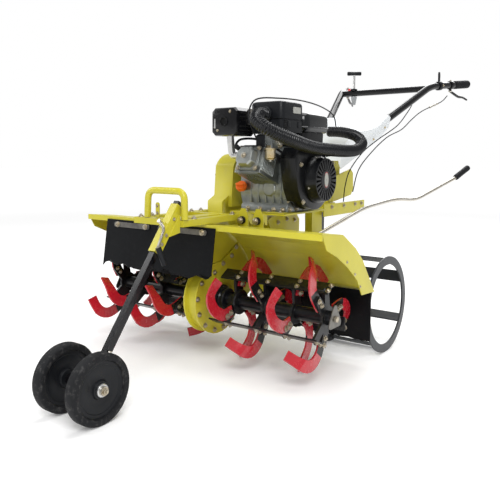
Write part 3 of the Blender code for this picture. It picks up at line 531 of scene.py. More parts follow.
class Tree:
    """A geometry node tree with named inputs, ended by Realize Instances and Set Material."""

    def __init__(self, name, inputs):
        self.group = bpy.data.node_groups.new(name, "GeometryNodeTree")
        self.group.interface.new_socket("Geometry", in_out="INPUT", socket_type="NodeSocketGeometry")
        for label, kind, default in inputs:
            socket = self.group.interface.new_socket(label, in_out="INPUT", socket_type=kind)
            if default is not None:
                socket.default_value = default
        self.group.interface.new_socket("Geometry", in_out="OUTPUT", socket_type="NodeSocketGeometry")
        self.given = self.group.nodes.new("NodeGroupInput")
        self.out = self.group.nodes.new("NodeGroupOutput")

    def value(self, label):
        return Wire(self.group, self.given.outputs[label])

    def make(self, kind, settings=None, inputs=None, output=0):
        node = self.group.nodes.new(kind)
        for key, value in (settings or {}).items():
            setattr(node, key, value)
        for key, value in (inputs or {}).items():
            values = value if isinstance(value, list) else [value]
            for each in values:
                plug(self.group, each, node.inputs[key])
        return Wire(self.group, node.outputs[output])

    def end(self, geometry):
        real = self.make("GeometryNodeRealizeInstances", inputs={0: geometry})
        last = self.make("GeometryNodeSetMaterial", inputs={"Geometry": real,
                                                            "Material": self.value("Finish")})
        self.group.links.new(last.socket, self.out.inputs[0])
        return self.group


def fastener_tree():
    """Hexagon heads on round washers, one at each point, turned to the point's direction and scaled."""
    tree = Tree("fasteners", [
        ("Head radius", "NodeSocketFloat", 0.0075), ("Head height", "NodeSocketFloat", 0.0050),
        ("Washer radius", "NodeSocketFloat", 0.0105), ("Washer thickness", "NodeSocketFloat", 0.0016),
        ("Thread length", "NodeSocketFloat", 0.0030), ("Finish", "NodeSocketMaterial", None),
    ])
    radius, height = tree.value("Head radius"), tree.value("Head height")
    washer, thick = tree.value("Washer radius"), tree.value("Washer thickness")
    thread = tree.value("Thread length")
    parts = []
    for sides, top, bottom, deep, base in (
        (24, washer * 0.96, washer, thick, 0.0),
        (6, radius * 0.97, radius, height * 0.8, thick),
        (12, radius * 0.78, radius * 0.95, height * 0.2, thick + height * 0.8),
        (12, radius * 0.44, radius * 0.50, thread, thick + height),
    ):
        cone = tree.make("GeometryNodeMeshCone", inputs={
            "Vertices": sides, "Radius Top": top, "Radius Bottom": bottom, "Depth": deep})
        lift = tree.make("ShaderNodeCombineXYZ", inputs={"Z": base})
        parts.append(tree.make("GeometryNodeTransform", inputs={"Geometry": cone, "Translation": lift}))
    head = tree.make("GeometryNodeJoinGeometry", inputs={0: list(reversed(parts))})
    points = tree.make("GeometryNodeMeshToPoints", inputs={"Mesh": tree.value("Geometry"), "Radius": 0.001})
    facing_to = tree.make("GeometryNodeInputNamedAttribute", {"data_type": "FLOAT_VECTOR"},
                          {"Name": "facing"})
    size = tree.make("GeometryNodeInputNamedAttribute", {"data_type": "FLOAT"}, {"Name": "size"})
    turn = tree.make("FunctionNodeAlignRotationToVector", {"axis": "Z"}, {"Vector": facing_to})
    placed = tree.make("GeometryNodeInstanceOnPoints", inputs={
        "Points": points, "Instance": head, "Rotation": turn, "Scale": size})
    return tree.end(placed)


def bellows_tree():
    """A hose with rings along a path."""
    tree = Tree("bellows", [
        ("Radius", "NodeSocketFloat", 0.0135), ("Ring height", "NodeSocketFloat", 0.0015),
        ("Rings", "NodeSocketFloat", 150.0), ("Samples", "NodeSocketInt", 900),
        ("Sides", "NodeSocketInt", 24), ("Finish", "NodeSocketMaterial", None),
    ])
    path = tree.make("GeometryNodeResampleCurve", inputs={"Curve": tree.value("Geometry"),
                                                          "Count": tree.value("Samples")})
    along = tree.make("GeometryNodeSplineParameter", output="Factor")
    wave = tree.make("ShaderNodeMath", {"operation": "SINE"},
                     {0: along * tree.value("Rings") * (2 * math.pi)})
    width = wave * tree.value("Ring height") * 0.5 + tree.value("Radius")
    circle = tree.make("GeometryNodeCurvePrimitiveCircle",
                       inputs={"Resolution": tree.value("Sides"), "Radius": 1.0})
    path = tree.make("GeometryNodeSetCurveRadius", inputs={"Curve": path, "Radius": width})
    skin = tree.make("GeometryNodeCurveToMesh", inputs={
        "Curve": path, "Profile Curve": circle, "Fill Caps": True, "Scale": width})
    return tree.end(tree.make("GeometryNodeSetShadeSmooth", inputs={"Geometry": skin}))


def row_tree():
    """Copies of a shape, evenly spaced from one point to another."""
    tree = Tree("row", [
        ("Count", "NodeSocketInt", 8), ("Start", "NodeSocketVector", (0, 0, 0)),
        ("Step", "NodeSocketVector", (0, 0, 0.01)), ("Finish", "NodeSocketMaterial", None),
    ])
    line = tree.make("GeometryNodeMeshLine", inputs={
        "Count": tree.value("Count"), "Start Location": tree.value("Start"), "Offset": tree.value("Step")})
    copies = tree.make("GeometryNodeInstanceOnPoints",
                       inputs={"Points": line, "Instance": tree.value("Geometry")})
    return tree.end(copies)


TREES = {}


def grown(thing, tree, name, body, slot, inputs, replaces=(), smooth=40.0):
    """Runs a tree on an object and keeps the result as a plain mesh."""
    if tree not in TREES:
        TREES[tree] = {"fasteners": fastener_tree, "bellows": bellows_tree, "row": row_tree}[tree]()
    group = TREES[tree]
    modifier = thing.modifiers.new("grown", "NODES")
    modifier.node_group = group
    ids = {s.name: s.identifier for s in group.interface.items_tree if s.in_out == "INPUT"}
    for label, value in inputs.items():
        modifier[ids[label]] = value
    graph = bpy.context.evaluated_depsgraph_get()
    mesh = bpy.data.meshes.new_from_object(thing.evaluated_get(graph), depsgraph=graph)
    if not len(mesh.polygons):
        raise RuntimeError(name + " has no faces")
    mesh.name = name
    drop(thing)
    mesh.set_sharp_from_angle(angle=math.radians(smooth))
    made = make_object(name, mesh)
    settle(made, body, slot, replaces)
    return made


def bolts(name, rows, body=CHASSIS, finish="plated", slot="zinc", **sizes):
    """Bolt heads: each row is a point, the way the head faces, and a size."""
    mesh = bpy.data.meshes.new(name + "_points")
    mesh.from_pydata([tuple(row[0]) for row in rows], [], [])
    mesh.attributes.new("facing", "FLOAT_VECTOR", "POINT")
    mesh.attributes.new("size", "FLOAT", "POINT")
    directions, scales = mesh.attributes["facing"].data, mesh.attributes["size"].data
    for i, row in enumerate(rows):
        directions[i].vector = Vector(row[1]).normalized()
        scales[i].value = row[2] if len(row) > 2 else 1.0
    return grown(make_object(name + "_points", mesh), "fasteners", name, body, slot,
                 {"Finish": FINISHES[finish], **sizes}, smooth=30.0)


# Ground-working gear -------------------------------------------------------------------------------

STARS = (0.100, 0.215, 0.320, 0.425)  # the stars' distances from the middle
BAR_ANGLES = (97.0, 217.0, 337.0)
BAR_RADIUS, BAR_LEAN = 0.090, 65.0  # where the tie bars sit, and how far their flats lean back
EARLY, LATE = -13.0, 36.0  # the blades' turns from the tie bars
CASE_FACE, BOX_FACE = 0.0262, 0.0552  # sides of the chain case and the gearbox, from the middle
RING_INNER, RING_OUTER = 0.250, 0.457  # the two rings of a cage wheel, from the middle
RING_THICK, RING_WIDTH = 0.006, 0.028


def polar(radius, angle):
    return radius * math.cos(math.radians(angle)), radius * math.sin(math.radians(angle))


def tine_face(face):
    """Red for the blades, and nothing for the stars and bars."""
    centre = face.calc_center_median()
    y, z = centre.y - ROTOR.y, centre.z - ROTOR.z
    radius, turn = math.hypot(y, z), math.degrees(math.atan2(z, y)) % 360
    for bar in BAR_ANGLES:
        along, across = polar(1.0, bar - BAR_LEAN), polar(1.0, bar - BAR_LEAN + 90.0)
        bar_y, bar_z = polar(BAR_RADIUS, bar)
        shift_y, shift_z = y - bar_y, z - bar_z
        if (abs(shift_y * along[0] + shift_z * along[1]) < 0.0235
                and abs(shift_y * across[0] + shift_z * across[1]) < 0.0032):
            return None
    if radius > 0.1075:
        return "red"
    nearest = min(range(4), key=lambda i: abs(abs(centre.x) - STARS[i]))
    offset = abs(abs(centre.x) - STARS[nearest])
    if not 0.0042 < offset < 0.020 or radius < 0.047:
        return None
    blade = EARLY if nearest % 2 == 0 else LATE
    for angle in BAR_ANGLES:
        gap = (turn - angle - blade + 180) % 360 - 180
        if abs(gap) < 24:
            return "red"
    return None


def rotor_bolts():
    rows = []
    for side in (-1, 1):
        for index, star in enumerate(STARS):
            early = index % 2 == 0
            curl = 1 if side > 0 and early else -1
            for bar in BAR_ANGLES:
                y, z = polar(BAR_RADIUS, bar)
                normal = polar(1.0, bar - BAR_LEAN + 90.0)
                out = (0, *normal)
                lift = 0.0027
                x = side * star
                along = polar(1.0, bar - BAR_LEAN)
                for shift in (-0.011, 0.012):
                    rows.append(((x + 0.014, y + ROTOR.y + normal[0] * lift + along[0] * shift,
                                  z + ROTOR.z + normal[1] * lift + along[1] * shift), out, 0.80))
                angle = bar + (EARLY if early else LATE)
                for radius in (0.060, 0.080):
                    y, z = polar(radius, angle)
                    face = x + curl * 0.0101
                    rows.append(((face, y + ROTOR.y, z + ROTOR.z), (curl, 0, 0), 0.95))
                    rows.append(((x - curl * 0.0041, y + ROTOR.y, z + ROTOR.z), (-curl, 0, 0), 0.80))
    return rows


def build_rotor():
    for side in ("left", "right"):
        refined("tine_set_" + side, "dark", 34.0, split=tine_face)
    dress("rotor_shaft", "dark")
    bolts("rotor_bolts", rotor_bolts(), "rotor")
    hubs = Shape("rotor_hub_collars")
    for side in (-1, 1):
        for x, radius in ((0.048, 0.038), (0.0995, 0.041), (0.2145, 0.034)):
            start = at(side * x, 0, 0)
            start.z = ROTOR.z
            hubs.turned([(radius - 0.010, 0), (radius - 0.002, 0.0), (radius, 0.003), (radius, 0.009),
                         (radius - 0.003, 0.012), (0.022, 0.012), (0.022, 0.0)], start, (side, 0, 0), "dark",
                         40, True)
    hubs.done("rotor", "black_paint")
    ends = Shape("rotor_end_caps")
    for side in (-1, 1):
        start = Vector((side * 0.4442, ROTOR.y, ROTOR.z))
        ends.turned([(0, 0), (0.021, 0), (0.021, 0.003), (0.017, 0.005), (0.0, 0.005)], start, (side, 0, 0),
                    "dark", 32)
        outline = []
        for corner in (90, 210, 330):
            for turn in (-50, -25, 0, 25, 50):
                a, b = polar(0.030, corner)
                c, d = polar(0.011, corner + turn)
                outline.append((a + c, b + d))
        ends.prism(outline, 0.003, "dull", facing(start + Vector((side * 0.0066, 0, 0)), (side, 0, 0)))
        ends.rod(start + Vector((side * 0.0082, 0, 0)), start + Vector((side * 0.016, 0, 0)), 0.010,
                 "plated", 6)
    ends.done("rotor", "zinc")


def build_chain_case():
    refined("chain_case", "yellow", 30.0)
    flange = [(.129, .377), (.083, .356), (.058, .329), (.011, .309), (-.034, .285), (-.099, .259),
              (-.12, .211),
              (-.112, .16), (-.083, .119), (-.035, .094), (.012, .094), (.060, .112), (.108, .140),
              (.172, .172)]
    rows = []
    for side in (-1, 1):
        for y, z in flange:
            rows.append((at(side * CASE_FACE, y, z), (side, 0, 0), 0.86))
    bolts("case_bolts", rows)
    seals = Shape("case_seals")
    for side in (-1, 1):
        start = Vector((side * CASE_FACE, ROTOR.y, ROTOR.z))
        seals.turned([(0.0225, 0), (0.047, 0), (0.047, 0.007), (0.044, 0.010), (0.034, 0.012), (0.030, 0.017),
                      (0.0225, 0.017)], start, (side, 0, 0), "dark", 48, True)
    seals.done(CHASSIS, "black_paint")
    seal_bolts = []
    for side in (-1, 1):
        for i in range(6):
            y, z = polar(0.0395, 30 + 60 * i)
            seal_bolts.append(((side * 0.0374, y + ROTOR.y, z + ROTOR.z), (side, 0, 0), 0.5))
    bolts("seal_bolts", seal_bolts, finish="dark", slot="black_paint")


def build_gearbox():
    refined("gearbox", "yellow", 30.0)
    rows = []
    for side in (-1, 1):
        for y, z in ((.300, .425), (.360, .432), (.418, .425), (.435, .370), (.432, .310), (.412, .250),
                     (.330, .170), (.338, .250), (.300, .330)):
            rows.append((at(side * BOX_FACE, y, z), (side, 0, 0), 0.9))
    bolts("gearbox_bolts", rows)
    covers = Shape("gearbox_covers")
    for side in (-1, 1):
        start = Vector((side * 0.1502, CAGE.y, CAGE.z))
        covers.turned([(0.0175, 0), (0.040, 0), (0.040, 0.006), (0.037, 0.009), (0.0175, 0.009)], start,
                      (side, 0, 0), "black", 40, True)
        covers.turned([(0.012, 0), (0.038, 0), (0.038, 0.006), (0.034, 0.009), (0.0, 0.009), (0, 0)],
                      at(side * BOX_FACE, 0.372, 0.345), (side, 0, 0), "yellow", 40)
    covers.done(CHASSIS, "yellow_paint")


def build_cage_wheels():
    for side, sign in (("left", 1), ("right", -1)):
        node = "cage_wheel_" + side
        low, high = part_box(node)
        shape = Shape("cage_wheel_" + side + "_skin")
        radius = (high[2] - low[2]) / 2
        inner = radius - RING_WIDTH
        for x in (RING_INNER, RING_OUTER):
            near, far = sorted((sign * x, sign * (x - RING_THICK)))
            start = Vector((near, CAGE.y, CAGE.z))
            e = 0.0008
            shape.turned([(inner, e), (inner + e, 0), (radius - e, 0), (radius, e), (radius, RING_THICK - e),
                          (radius - e, RING_THICK), (inner + e, RING_THICK), (inner, RING_THICK - e)],
                         start, X, "cage", 96, True)
        for i in range(6):
            angle = 90 + 60 * i
            y, z = polar(radius - RING_WIDTH / 2, angle)
            centre = Vector((sign * 0.3505, CAGE.y + y, CAGE.z + z))
            lean = Matrix.Rotation(math.radians(angle - 90 - 32), 4, "X")
            place = Matrix.Translation(centre) @ lean
            outline = [(-0.020, -0.002), (0.018, -0.002), (0.020, 0.000), (0.020, 0.002), (-0.018, 0.002),
                       (-0.020, 0.0)]
            rows = []
            for x in (-0.1005, 0.1005):
                rows.append([place @ Vector((x, a, b)) for a, b in outline])
            shape.rings(rows, "cage")
        for i in range(3):
            y, z = polar(1.0, 30 + 120 * i)
            out = Vector((0, y, z))
            across = Vector((0, -z, y)) * 0.015
            near, far = sorted((sign * (RING_INNER - RING_THICK), sign * RING_INNER))
            rows = []
            for r in (RING_WIDTH / 2, radius - RING_WIDTH / 2):
                base = Vector((0, CAGE.y, CAGE.z)) + out * r
                rows.append([base - across + X * near, base + across + X * near, base + across + X * far,
                             base - across + X * far])
            shape.rings(rows, "cage")
        start = Vector((sign * 0.210, CAGE.y, CAGE.z))
        shape.turned([(0.0165, 0), (0.026, 0), (0.028, 0.002), (0.028, 0.052), (0.026, 0.054),
                      (0.0165, 0.054)],
                     start, (sign, 0, 0), "cage", 40, True)
        shape.done("cage_axle", "black_paint", 30.0, [node])
    refined("rear_axle", "zinc", 32.0)
    rows = []
    for sign in (-1, 1):
        for i in range(3):
            y, z = polar(0.048, 30 + 120 * i)
            rows.append(((sign * 0.2502, CAGE.y + y, CAGE.z + z), (sign, 0, 0), 1.0))
        rows.append(((sign * 0.2706, CAGE.y, CAGE.z), (sign, 0, 0), 1.25))
        rows.append(((sign * 0.226, CAGE.y - 0.028, CAGE.z), (0, -1, 0), 0.8))
    bolts("cage_bolts", rows, "cage_axle")


# Front support wheel -------------------------------------------------------------------------------


def along_strut(distance, ahead=0.0):
    low, top = Vector((-0.333, 0.389)), Vector((-0.237, 0.518))
    up = (top - low).normalized()
    return low + up * distance + Vector((-up.y, up.x)) * ahead


def build_front_wheels():
    for side, sign in (("left", 1), ("right", -1)):
        node = "front_wheel_" + side
        low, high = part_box(node)
        centre = middle_of(node)
        half, radius = (high[0] - low[0]) / 2, (high[2] - low[2]) / 2
        tyre = Shape("front_tyre_" + side)
        profile = [(0.0705, half - 0.008), (0.0730, half - 0.001), (0.076, half), (0.085, half),
                   (radius - 0.0014, half - 0.0016), (radius, half - 0.0052), (radius, 0.0052 - half),
                   (radius - 0.0014, 0.0016 - half), (0.085, -half), (0.076, -half), (0.0730, 0.001 - half),
                   (0.0705, 0.008 - half)]
        tyre.turned(profile, centre, X, "tread", 96, True)
        tyre.done("front_wheels", "rubber", 50.0)
        disc = Shape("front_disc_" + side)
        rows = [(0.0075, half - 0.004), (0.0215, half - 0.004), (0.0235, half - 0.0055),
                (0.0252, half - 0.010),
                (0.038, half - 0.0108), (0.040, half - 0.0100), (0.060, half - 0.0100),
                (0.062, half - 0.0086),
                (0.0665, half - 0.0086), (0.0704, half - 0.0070)]
        back = [(r, -h) for r, h in reversed(rows)]
        disc.turned(rows + back, centre, X, "plastic", 72, True)
        disc.done("front_wheels", "rubber", 28.0, [node])
    rows = []
    caps = Shape("front_hub_caps")
    cap = [(0, 0), (0.0170, 0), (0.0170, 0.0040), (0.0150, 0.0058), (0, 0.0058)]
    for sign in (-1, 1):
        caps.turned(cap, Vector((FRONT.x + sign * 0.0780, FRONT.y, FRONT.z)), (sign, 0, 0), "steel", 40)
        rows.append(((FRONT.x + sign * 0.0886, FRONT.y, FRONT.z), (sign, 0, 0), 1.10))
    caps.done("front_wheels", "zinc", 30.0)
    bolts("front_hub_nuts", rows, "front_strut")
    refined("front_axle", "zinc", 34.0, split=lambda face: (
        "black" if abs(face.calc_center_median().x - FRONT.x) < 0.060 else None))


def build_strut():
    dress("strut", "black")
    dress("strut_sleeve", "yellow")
    refined("clamp_handle", "zinc", 36.0, split=lambda face: (
        "plastic" if face.calc_center_median().z < 0.4095 else None))
    rows = []
    for hole in (0.030, 0.060, 0.115):
        y, z = along_strut(hole, 0.0)
        rows.append((at(0.0476 - 0.0137, y, z), (-1, 0, 0), 0.55))
        rows.append((at(0.0476 + 0.0137, y, z), (1, 0, 0), 0.55))
    bolts("sleeve_rivets", rows)
    pins = Shape("strut_foot_pin")
    y, z = along_strut(-0.302, 0.0)
    pins.rod(at(0.0340, y, z), at(0.0612, y, z), 0.0050, "zinc", 16)
    pins.rod(at(0.0310, y, z), at(0.0345, y, z), 0.0085, "zinc", 6)
    pins.rod(at(0.0608, y, z), at(0.0640, y, z), 0.0085, "zinc", 6)
    pins.done("front_strut", "zinc")


def build_frame():
    """The bumper hoop, the frame rails and the steel that stands on them."""
    hoop = Shape("bumper_hoop_skin")
    y, foot, top = -0.2345, 0.4774, 0.5615
    path = rounded([at(-0.078, y, foot), at(-0.0735, y, top), at(0.0745, y, top), at(0.0765, y, foot)],
                   0.028, 12)
    hoop.tube(path, 0.0104, "yellow", 28)
    hoop.done(CHASSIS, "yellow_paint", 40.0, ["bumper_hoop"])
    for node in ("main_frame", "engine_plate", "shift_gate"):
        dress(node, "yellow")
    refined("belt_cover", "yellow", 34.0)
    refined("handle_column", "yellow", 34.0)
    dress("hitch_post", "black")
    rows = []
    for x in (0.075, 0.120, 0.165, 0.210):
        for y in (0.075, 0.310):
            rows.append((at(x, y, 0.4818), (0, 0, 1), 0.95))
    for x in (-0.113, 0.065):
        for y in (-0.228, -0.180, 0.010, 0.060, 0.415, 0.560, 0.680):
            if not (x > 0 and 0.03 < y < 0.34):
                rows.append((at(x, y, 0.4762), (0, 0, 1), 0.95))
    for y in (0.500, 0.600, 0.700, 0.760):
        rows.append((at(0.1704, y, 0.474), (1, 0, 0), 0.8))
    for y, z in ((0.725, 0.545), (0.760, 0.600), (0.700, 0.600), (0.745, 0.640), (0.690, 0.520)):
        for sign in (-1, 1):
            rows.append((at(sign * 0.0403, y, z), (sign, 0, 0), 1.0))
    for y in (0.110, 0.180, 0.240):
        rows.append((at(-0.0954, y, 0.445), (-1, 0, 0), 0.8))
    for y, z in ((0.130, 0.600), (0.230, 0.640), (0.150, 0.500), (0.250, 0.560)):
        rows.append((at(-0.0954, y, z), (-1, 0, 0), 0.9))
    bolts("frame_bolts", rows)
    lugs = Shape("frame_lugs")
    for x in (0.098, 0.158):
        for y, z in ((0.0280, 0.4665),):
            lugs.turned([(0, 0), (0.0125, 0), (0.0125, 0.010), (0.009, 0.012), (0, 0.012)],
                        at(x, y - 0.006, z - 0.008), (0, -1, 0), "rubber", 24)
    lugs.done(CHASSIS, "rubber")
    brackets = Shape("engine_side_brackets")
    outline = [(-0.020, -0.030), (0.020, -0.030), (0.020, 0.004), (0.008, 0.030), (-0.008, 0.030),
               (-0.020, 0.004)]
    for x in (0.098, 0.158):
        brackets.prism(outline, 0.004, "yellow", facing(at(x, 0.0265, 0.4665), (0, -1, 0)))
    tab = soft_rectangle(0.014, 0.048, 0.0065, 5)
    brackets.prism(tab, 0.004, "yellow", facing(at(-0.0385, -0.2300, 0.5005), (0, -1, 0)))
    brackets.block(at(0.150, 0.060, 0.4822), at(0.232, 0.090, 0.4850), "yellow", 0.0008)
    brackets.done(CHASSIS, "yellow_paint", 30)
    tops = [(at(-0.0385, -0.2321, z), (0, -1, 0), 0.5) for z in (0.491, 0.514)]
    bolts("lug_bolts", [(at(x, 0.0085, 0.4585), (0, -1, 0), 1.1) for x in (0.098, 0.158)] + tops)


def build_fenders():
    for side, sign in (("left", 1), ("right", -1)):
        dress("fender_" + side, "yellow")
    rows = []
    profile = ((-0.016, 0.444), (0.066, 0.396), (0.114, 0.355), (0.203, 0.242))
    for sign in (-1, 1):
        for y, z in ((0.063, 0.318), (0.010, 0.362), (0.100, 0.275)):
            rows.append((at(sign * 0.4816, y, z), (sign, 0, 0), 0.45))
        for x in (0.120, 0.280, 0.430):
            a, b = Vector(profile[2]), Vector(profile[3])
            mid = a.lerp(b, 0.90)
            normal = Vector((0, (a.y - b.y), (b.x - a.x)))
            rows.append((at(sign * x, mid.x, mid.y) + normal.normalized() * 0.0018, normal, 0.8))
        for x in (0.060, 0.092):
            a, b = Vector(profile[0]), Vector(profile[1])
            mid = a.lerp(b, 0.35)
            normal = Vector((0, (a.y - b.y), (b.x - a.x)))
            rows.append((at(sign * x, mid.x, mid.y) + normal.normalized() * 0.0018, normal, 0.8))
    bolts("fender_bolts", rows)


def rubber_sheet(name, node, top, foot, tear_size, phase):
    """A hanging rubber flap in place of its node, torn along its foot; top and foot are (y, z)."""
    low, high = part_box(node)
    flap = Shape(name)
    columns, rows_count = 90, 18
    front, back = [], []
    for j in range(rows_count + 1):
        t = j / rows_count
        line_front, line_back = [], []
        for i in range(columns + 1):
            u = i / columns
            x = low[0] + 0.0008 + (high[0] - low[0] - 0.0016) * u
            ragged = abs(math.sin(u * 23.0 + phase) * math.sin(u * 7.3 + 0.7 + phase))
            tear = tear_size * ragged + 0.3 * tear_size * abs(math.sin(u * 61.0)) + 0.0004
            z = top[1] + (foot[1] + tear - top[1]) * t
            y = top[0] + (foot[0] - top[0]) * (top[1] - z) / (top[1] - foot[1])
            wave = 0.0007 * t * math.sin(u * 19.0 + t * 2.0 + phase)
            line_front.append(at(x, y - 0.0014 + wave, z))
            line_back.append(at(x, y + 0.0014 + wave, z))
        front.append(line_front)
        back.append(line_back)
    loops = [f + list(reversed(b)) for f, b in zip(front, back)]
    flap.rings(loops, "flap")
    flap.done(CHASSIS, "rubber", 30.0, [node])


def clamp_strips(name, spans, top, foot, side, bolt_name):
    """The strips that hold a flap along its top, on its front (side -1) or its back, with their bolts."""
    strips = Shape(name)
    bolt_rows = []
    slope = Vector((0, foot[0] - top[0], foot[1] - top[1])).normalized()
    normal = X.cross(slope)
    if normal.y * side < 0:
        normal = -normal
    for x0, x1 in spans:
        centre = at((x0 + x1) / 2, *top) + slope * 0.016 + normal * 0.0038
        strips.prism(soft_rectangle(x1 - x0, 0.017, 0.0080, 5), 0.0028, "dull", facing(centre, normal, slope))
        for x in (x0 + 0.018, x1 - 0.018):
            bolt_rows.append((at(x, *top) + slope * 0.016 + normal * 0.0052, normal, 0.95))
    strips.done(CHASSIS, "zinc", 30.0)
    bolts(bolt_name, bolt_rows)


def build_flaps():
    """The rubber aprons in front of the left-hand tines and behind both tine sets."""
    top, foot = (-0.1409, 0.4460), (-0.1655, 0.2852)
    rubber_sheet("front_flap_sheet", "front_flap", top, foot, 0.017, 0.0)
    clamp_strips("flap_clamp_strips", ((-0.330, -0.160), (-0.120, 0.086)), top, foot, -1, "flap_bolts")
    top, foot = (0.1890, 0.2425), (0.1890, 0.0784)
    for side, sign in (("left", 1), ("right", -1)):
        rubber_sheet("rear_flap_sheet_" + side, "rear_flap_" + side, top, foot, 0.012, 1.0 + sign)
        spans = ((0.095, 0.255), (0.290, 0.460)) if sign > 0 else ((-0.255, -0.095), (-0.460, -0.290))
        clamp_strips("rear_clamp_strips_" + side, spans, top, foot, 1, "rear_flap_bolts_" + side)


# Engine --------------------------------------------------------------------------------------------

TILT = Matrix.Translation(at(0, 0.115, 0.618)) @ Matrix.Rotation(math.radians(-20), 4, "X")


def tilted(x, y, z):
    """A point in the cylinder's own directions."""
    return TILT @ Vector((x, y, z))


def build_engine():
    refined("engine_block", "cast", 34.0)
    refined("carburettor", "cast", 34.0, split=lambda face: (
        "brass" if 0.656 < face.calc_center_median().z < 0.690 else None))
    head = Shape("valve_cover_skin")
    base = []
    for inset, y in ((0.000, -0.1155), (0.000, -0.122), (0.006, -0.124), (0.008, -0.143), (0.012, -0.149),
                     (0.030, -0.1500)):
        outline = octagon(0.080 - 2 * inset, 0.078 - 2 * inset, max(0.016 - inset * 0.2, 0.004))
        base.append([tilted(0.137 + a, y, 0.001 + b) for a, b in outline])
    head.rings(base, "cast")
    head.done(CHASSIS, "cast_aluminium", 28.0, ["valve_cover"])
    fin = Shape("fin_pattern")
    outline = octagon(0.104, 0.098, 0.016)
    fin.rings([[Vector((a, 0, b)) for a, b in outline], [Vector((a, 0.0030, b)) for a, b in outline]], "cast")
    mesh = bpy.data.meshes.new("fin_pattern")
    bmesh.ops.recalc_face_normals(fin.mesh, faces=fin.mesh.faces)
    fin.mesh.transform(Matrix.Translation(tilted(0.137, -0.1110, 0.0)) @ Matrix.Rotation(math.radians(-20),
                       4, "X"))
    fin.mesh.to_mesh(mesh)
    fin.mesh.free()
    step = Matrix.Rotation(math.radians(-20), 4, "X") @ Vector((0, 0.0082, 0))
    grown(make_object("fin_pattern", mesh), "row", "cylinder_fins", CHASSIS, "cast_aluminium",
          {"Count": 9, "Step": step, "Finish": FINISHES["cast"]}, smooth=30.0)
    rows = []
    for x, z in ((0.104, -0.032), (0.170, -0.032), (0.104, 0.034), (0.170, 0.034)):
        rows.append((tilted(x, -0.1225, z), TILT.to_3x3() @ Vector((0, -1, 0)), 0.8))
    rows.append((tilted(0.137, -0.1500, 0.0), TILT.to_3x3() @ Vector((0, -1, 0)), 0.9))
    for y in (0.125, 0.165, 0.215, 0.268):
        rows.append((at(0.2152, y, 0.492), (1, 0, 0), 0.85))
    for z in (0.520, 0.560, 0.600, 0.640):
        rows.append((at(0.2152, 0.113, z), (1, 0, 0), 0.7))
    for x in (0.060, 0.110, 0.165, 0.200):
        rows.append((at(x, 0.1045, 0.490), (0, -1, 0), 0.85))
    rows += [(at(0.2147, 0.045, 0.722), (1, 0, 0), 0.95), (at(0.2147, 0.062, 0.700), (1, 0, 0), 0.9)]
    bolts("engine_bolts", rows)
    ribs = Shape("crankcase_ribs")
    for x in (0.075, 0.105, 0.135, 0.165, 0.195):
        ribs.prism([(0.100, 0.512), (0.108, 0.512), (0.111, 0.560), (0.106, 0.612), (0.098, 0.612)], 0.005,
                   "cast",
                   Matrix.Translation(at(x, 0, 0)) @ Matrix(((0, 0, 1, 0), (1, 0, 0, 0), (0, 1, 0, 0),
                                                             (0, 0, 0, 1))))
    ribs.turned([(0, 0), (0.026, 0), (0.026, 0.004), (0.022, 0.007), (0.0, 0.007)], at(0.150, 0.103, 0.560),
                (0, -1, 0), "cast", 32)
    ribs.done(CHASSIS, "cast_aluminium", 30.0)
    cap = Shape("oil_filler_cap")
    start, way = at(0.046, 0.096, 0.556), Vector((0.10, -0.80, 0.55)).normalized()
    cap.turned([(0, 0), (0.011, 0), (0.011, 0.010), (0.019, 0.012), (0.019, 0.021), (0.017, 0.024),
                (0, 0.024)],
               start, way, "orange", 24)
    cap.prism(soft_rectangle(0.030, 0.008, 0.0035), 0.010, "orange", facing(start + way * 0.027, way))
    cap.done(CHASSIS, "red_paint", 35.0)
    bowl = Shape("carburettor_details")
    bowl.turned([(0, 0), (0.010, 0.0), (0.0165, 0.006), (0.0170, 0.030), (0.0185, 0.032), (0.0185, 0.037),
                 (0.0, 0.037)], at(0.200, 0.030, 0.6545), Z, "brass", 32)
    bowl.rod(at(0.200, 0.030, 0.6555), at(0.200, 0.030, 0.6480), 0.0055, "zinc", 6)
    bowl.rod(at(0.214, 0.056, 0.708), at(0.224, 0.056, 0.708), 0.009, "zinc", 20)
    bowl.prism(soft_rectangle(0.040, 0.010, 0.0045), 0.0022, "zinc",
               facing(at(0.2165, 0.040, 0.7300), (1, 0, 0), Y))
    bowl.block(at(0.150, 0.020, 0.690), at(0.187, 0.060, 0.735), "plastic", 0.004)
    bowl.done(CHASSIS, "cast_aluminium", 35.0)
    lead = Shape("spark_lead")
    lead.tube(smooth_path([tilted(0.098, -0.122, 0.030), tilted(0.088, -0.138, 0.036),
                           tilted(0.094, -0.128, 0.062),
                           tilted(0.120, -0.085, 0.080), tilted(0.150, -0.050, 0.075),
                           tilted(0.180, -0.010, 0.062),
                           at(0.205, 0.090, 0.672)], 8), 0.0038, "rubber", 12)
    lead.rod(tilted(0.098, -0.118, 0.028), tilted(0.088, -0.141, 0.036), 0.0080, "rubber", 16)
    lead.done(CHASSIS, "rubber", 50.0)


def octagon(width, depth, cut):
    a, b = width / 2, depth / 2
    return [(a, -b + cut), (a, b - cut), (a - cut, b), (-a + cut, b), (-a, b - cut), (-a, -b + cut),
            (-a + cut, -b), (a - cut, -b)]


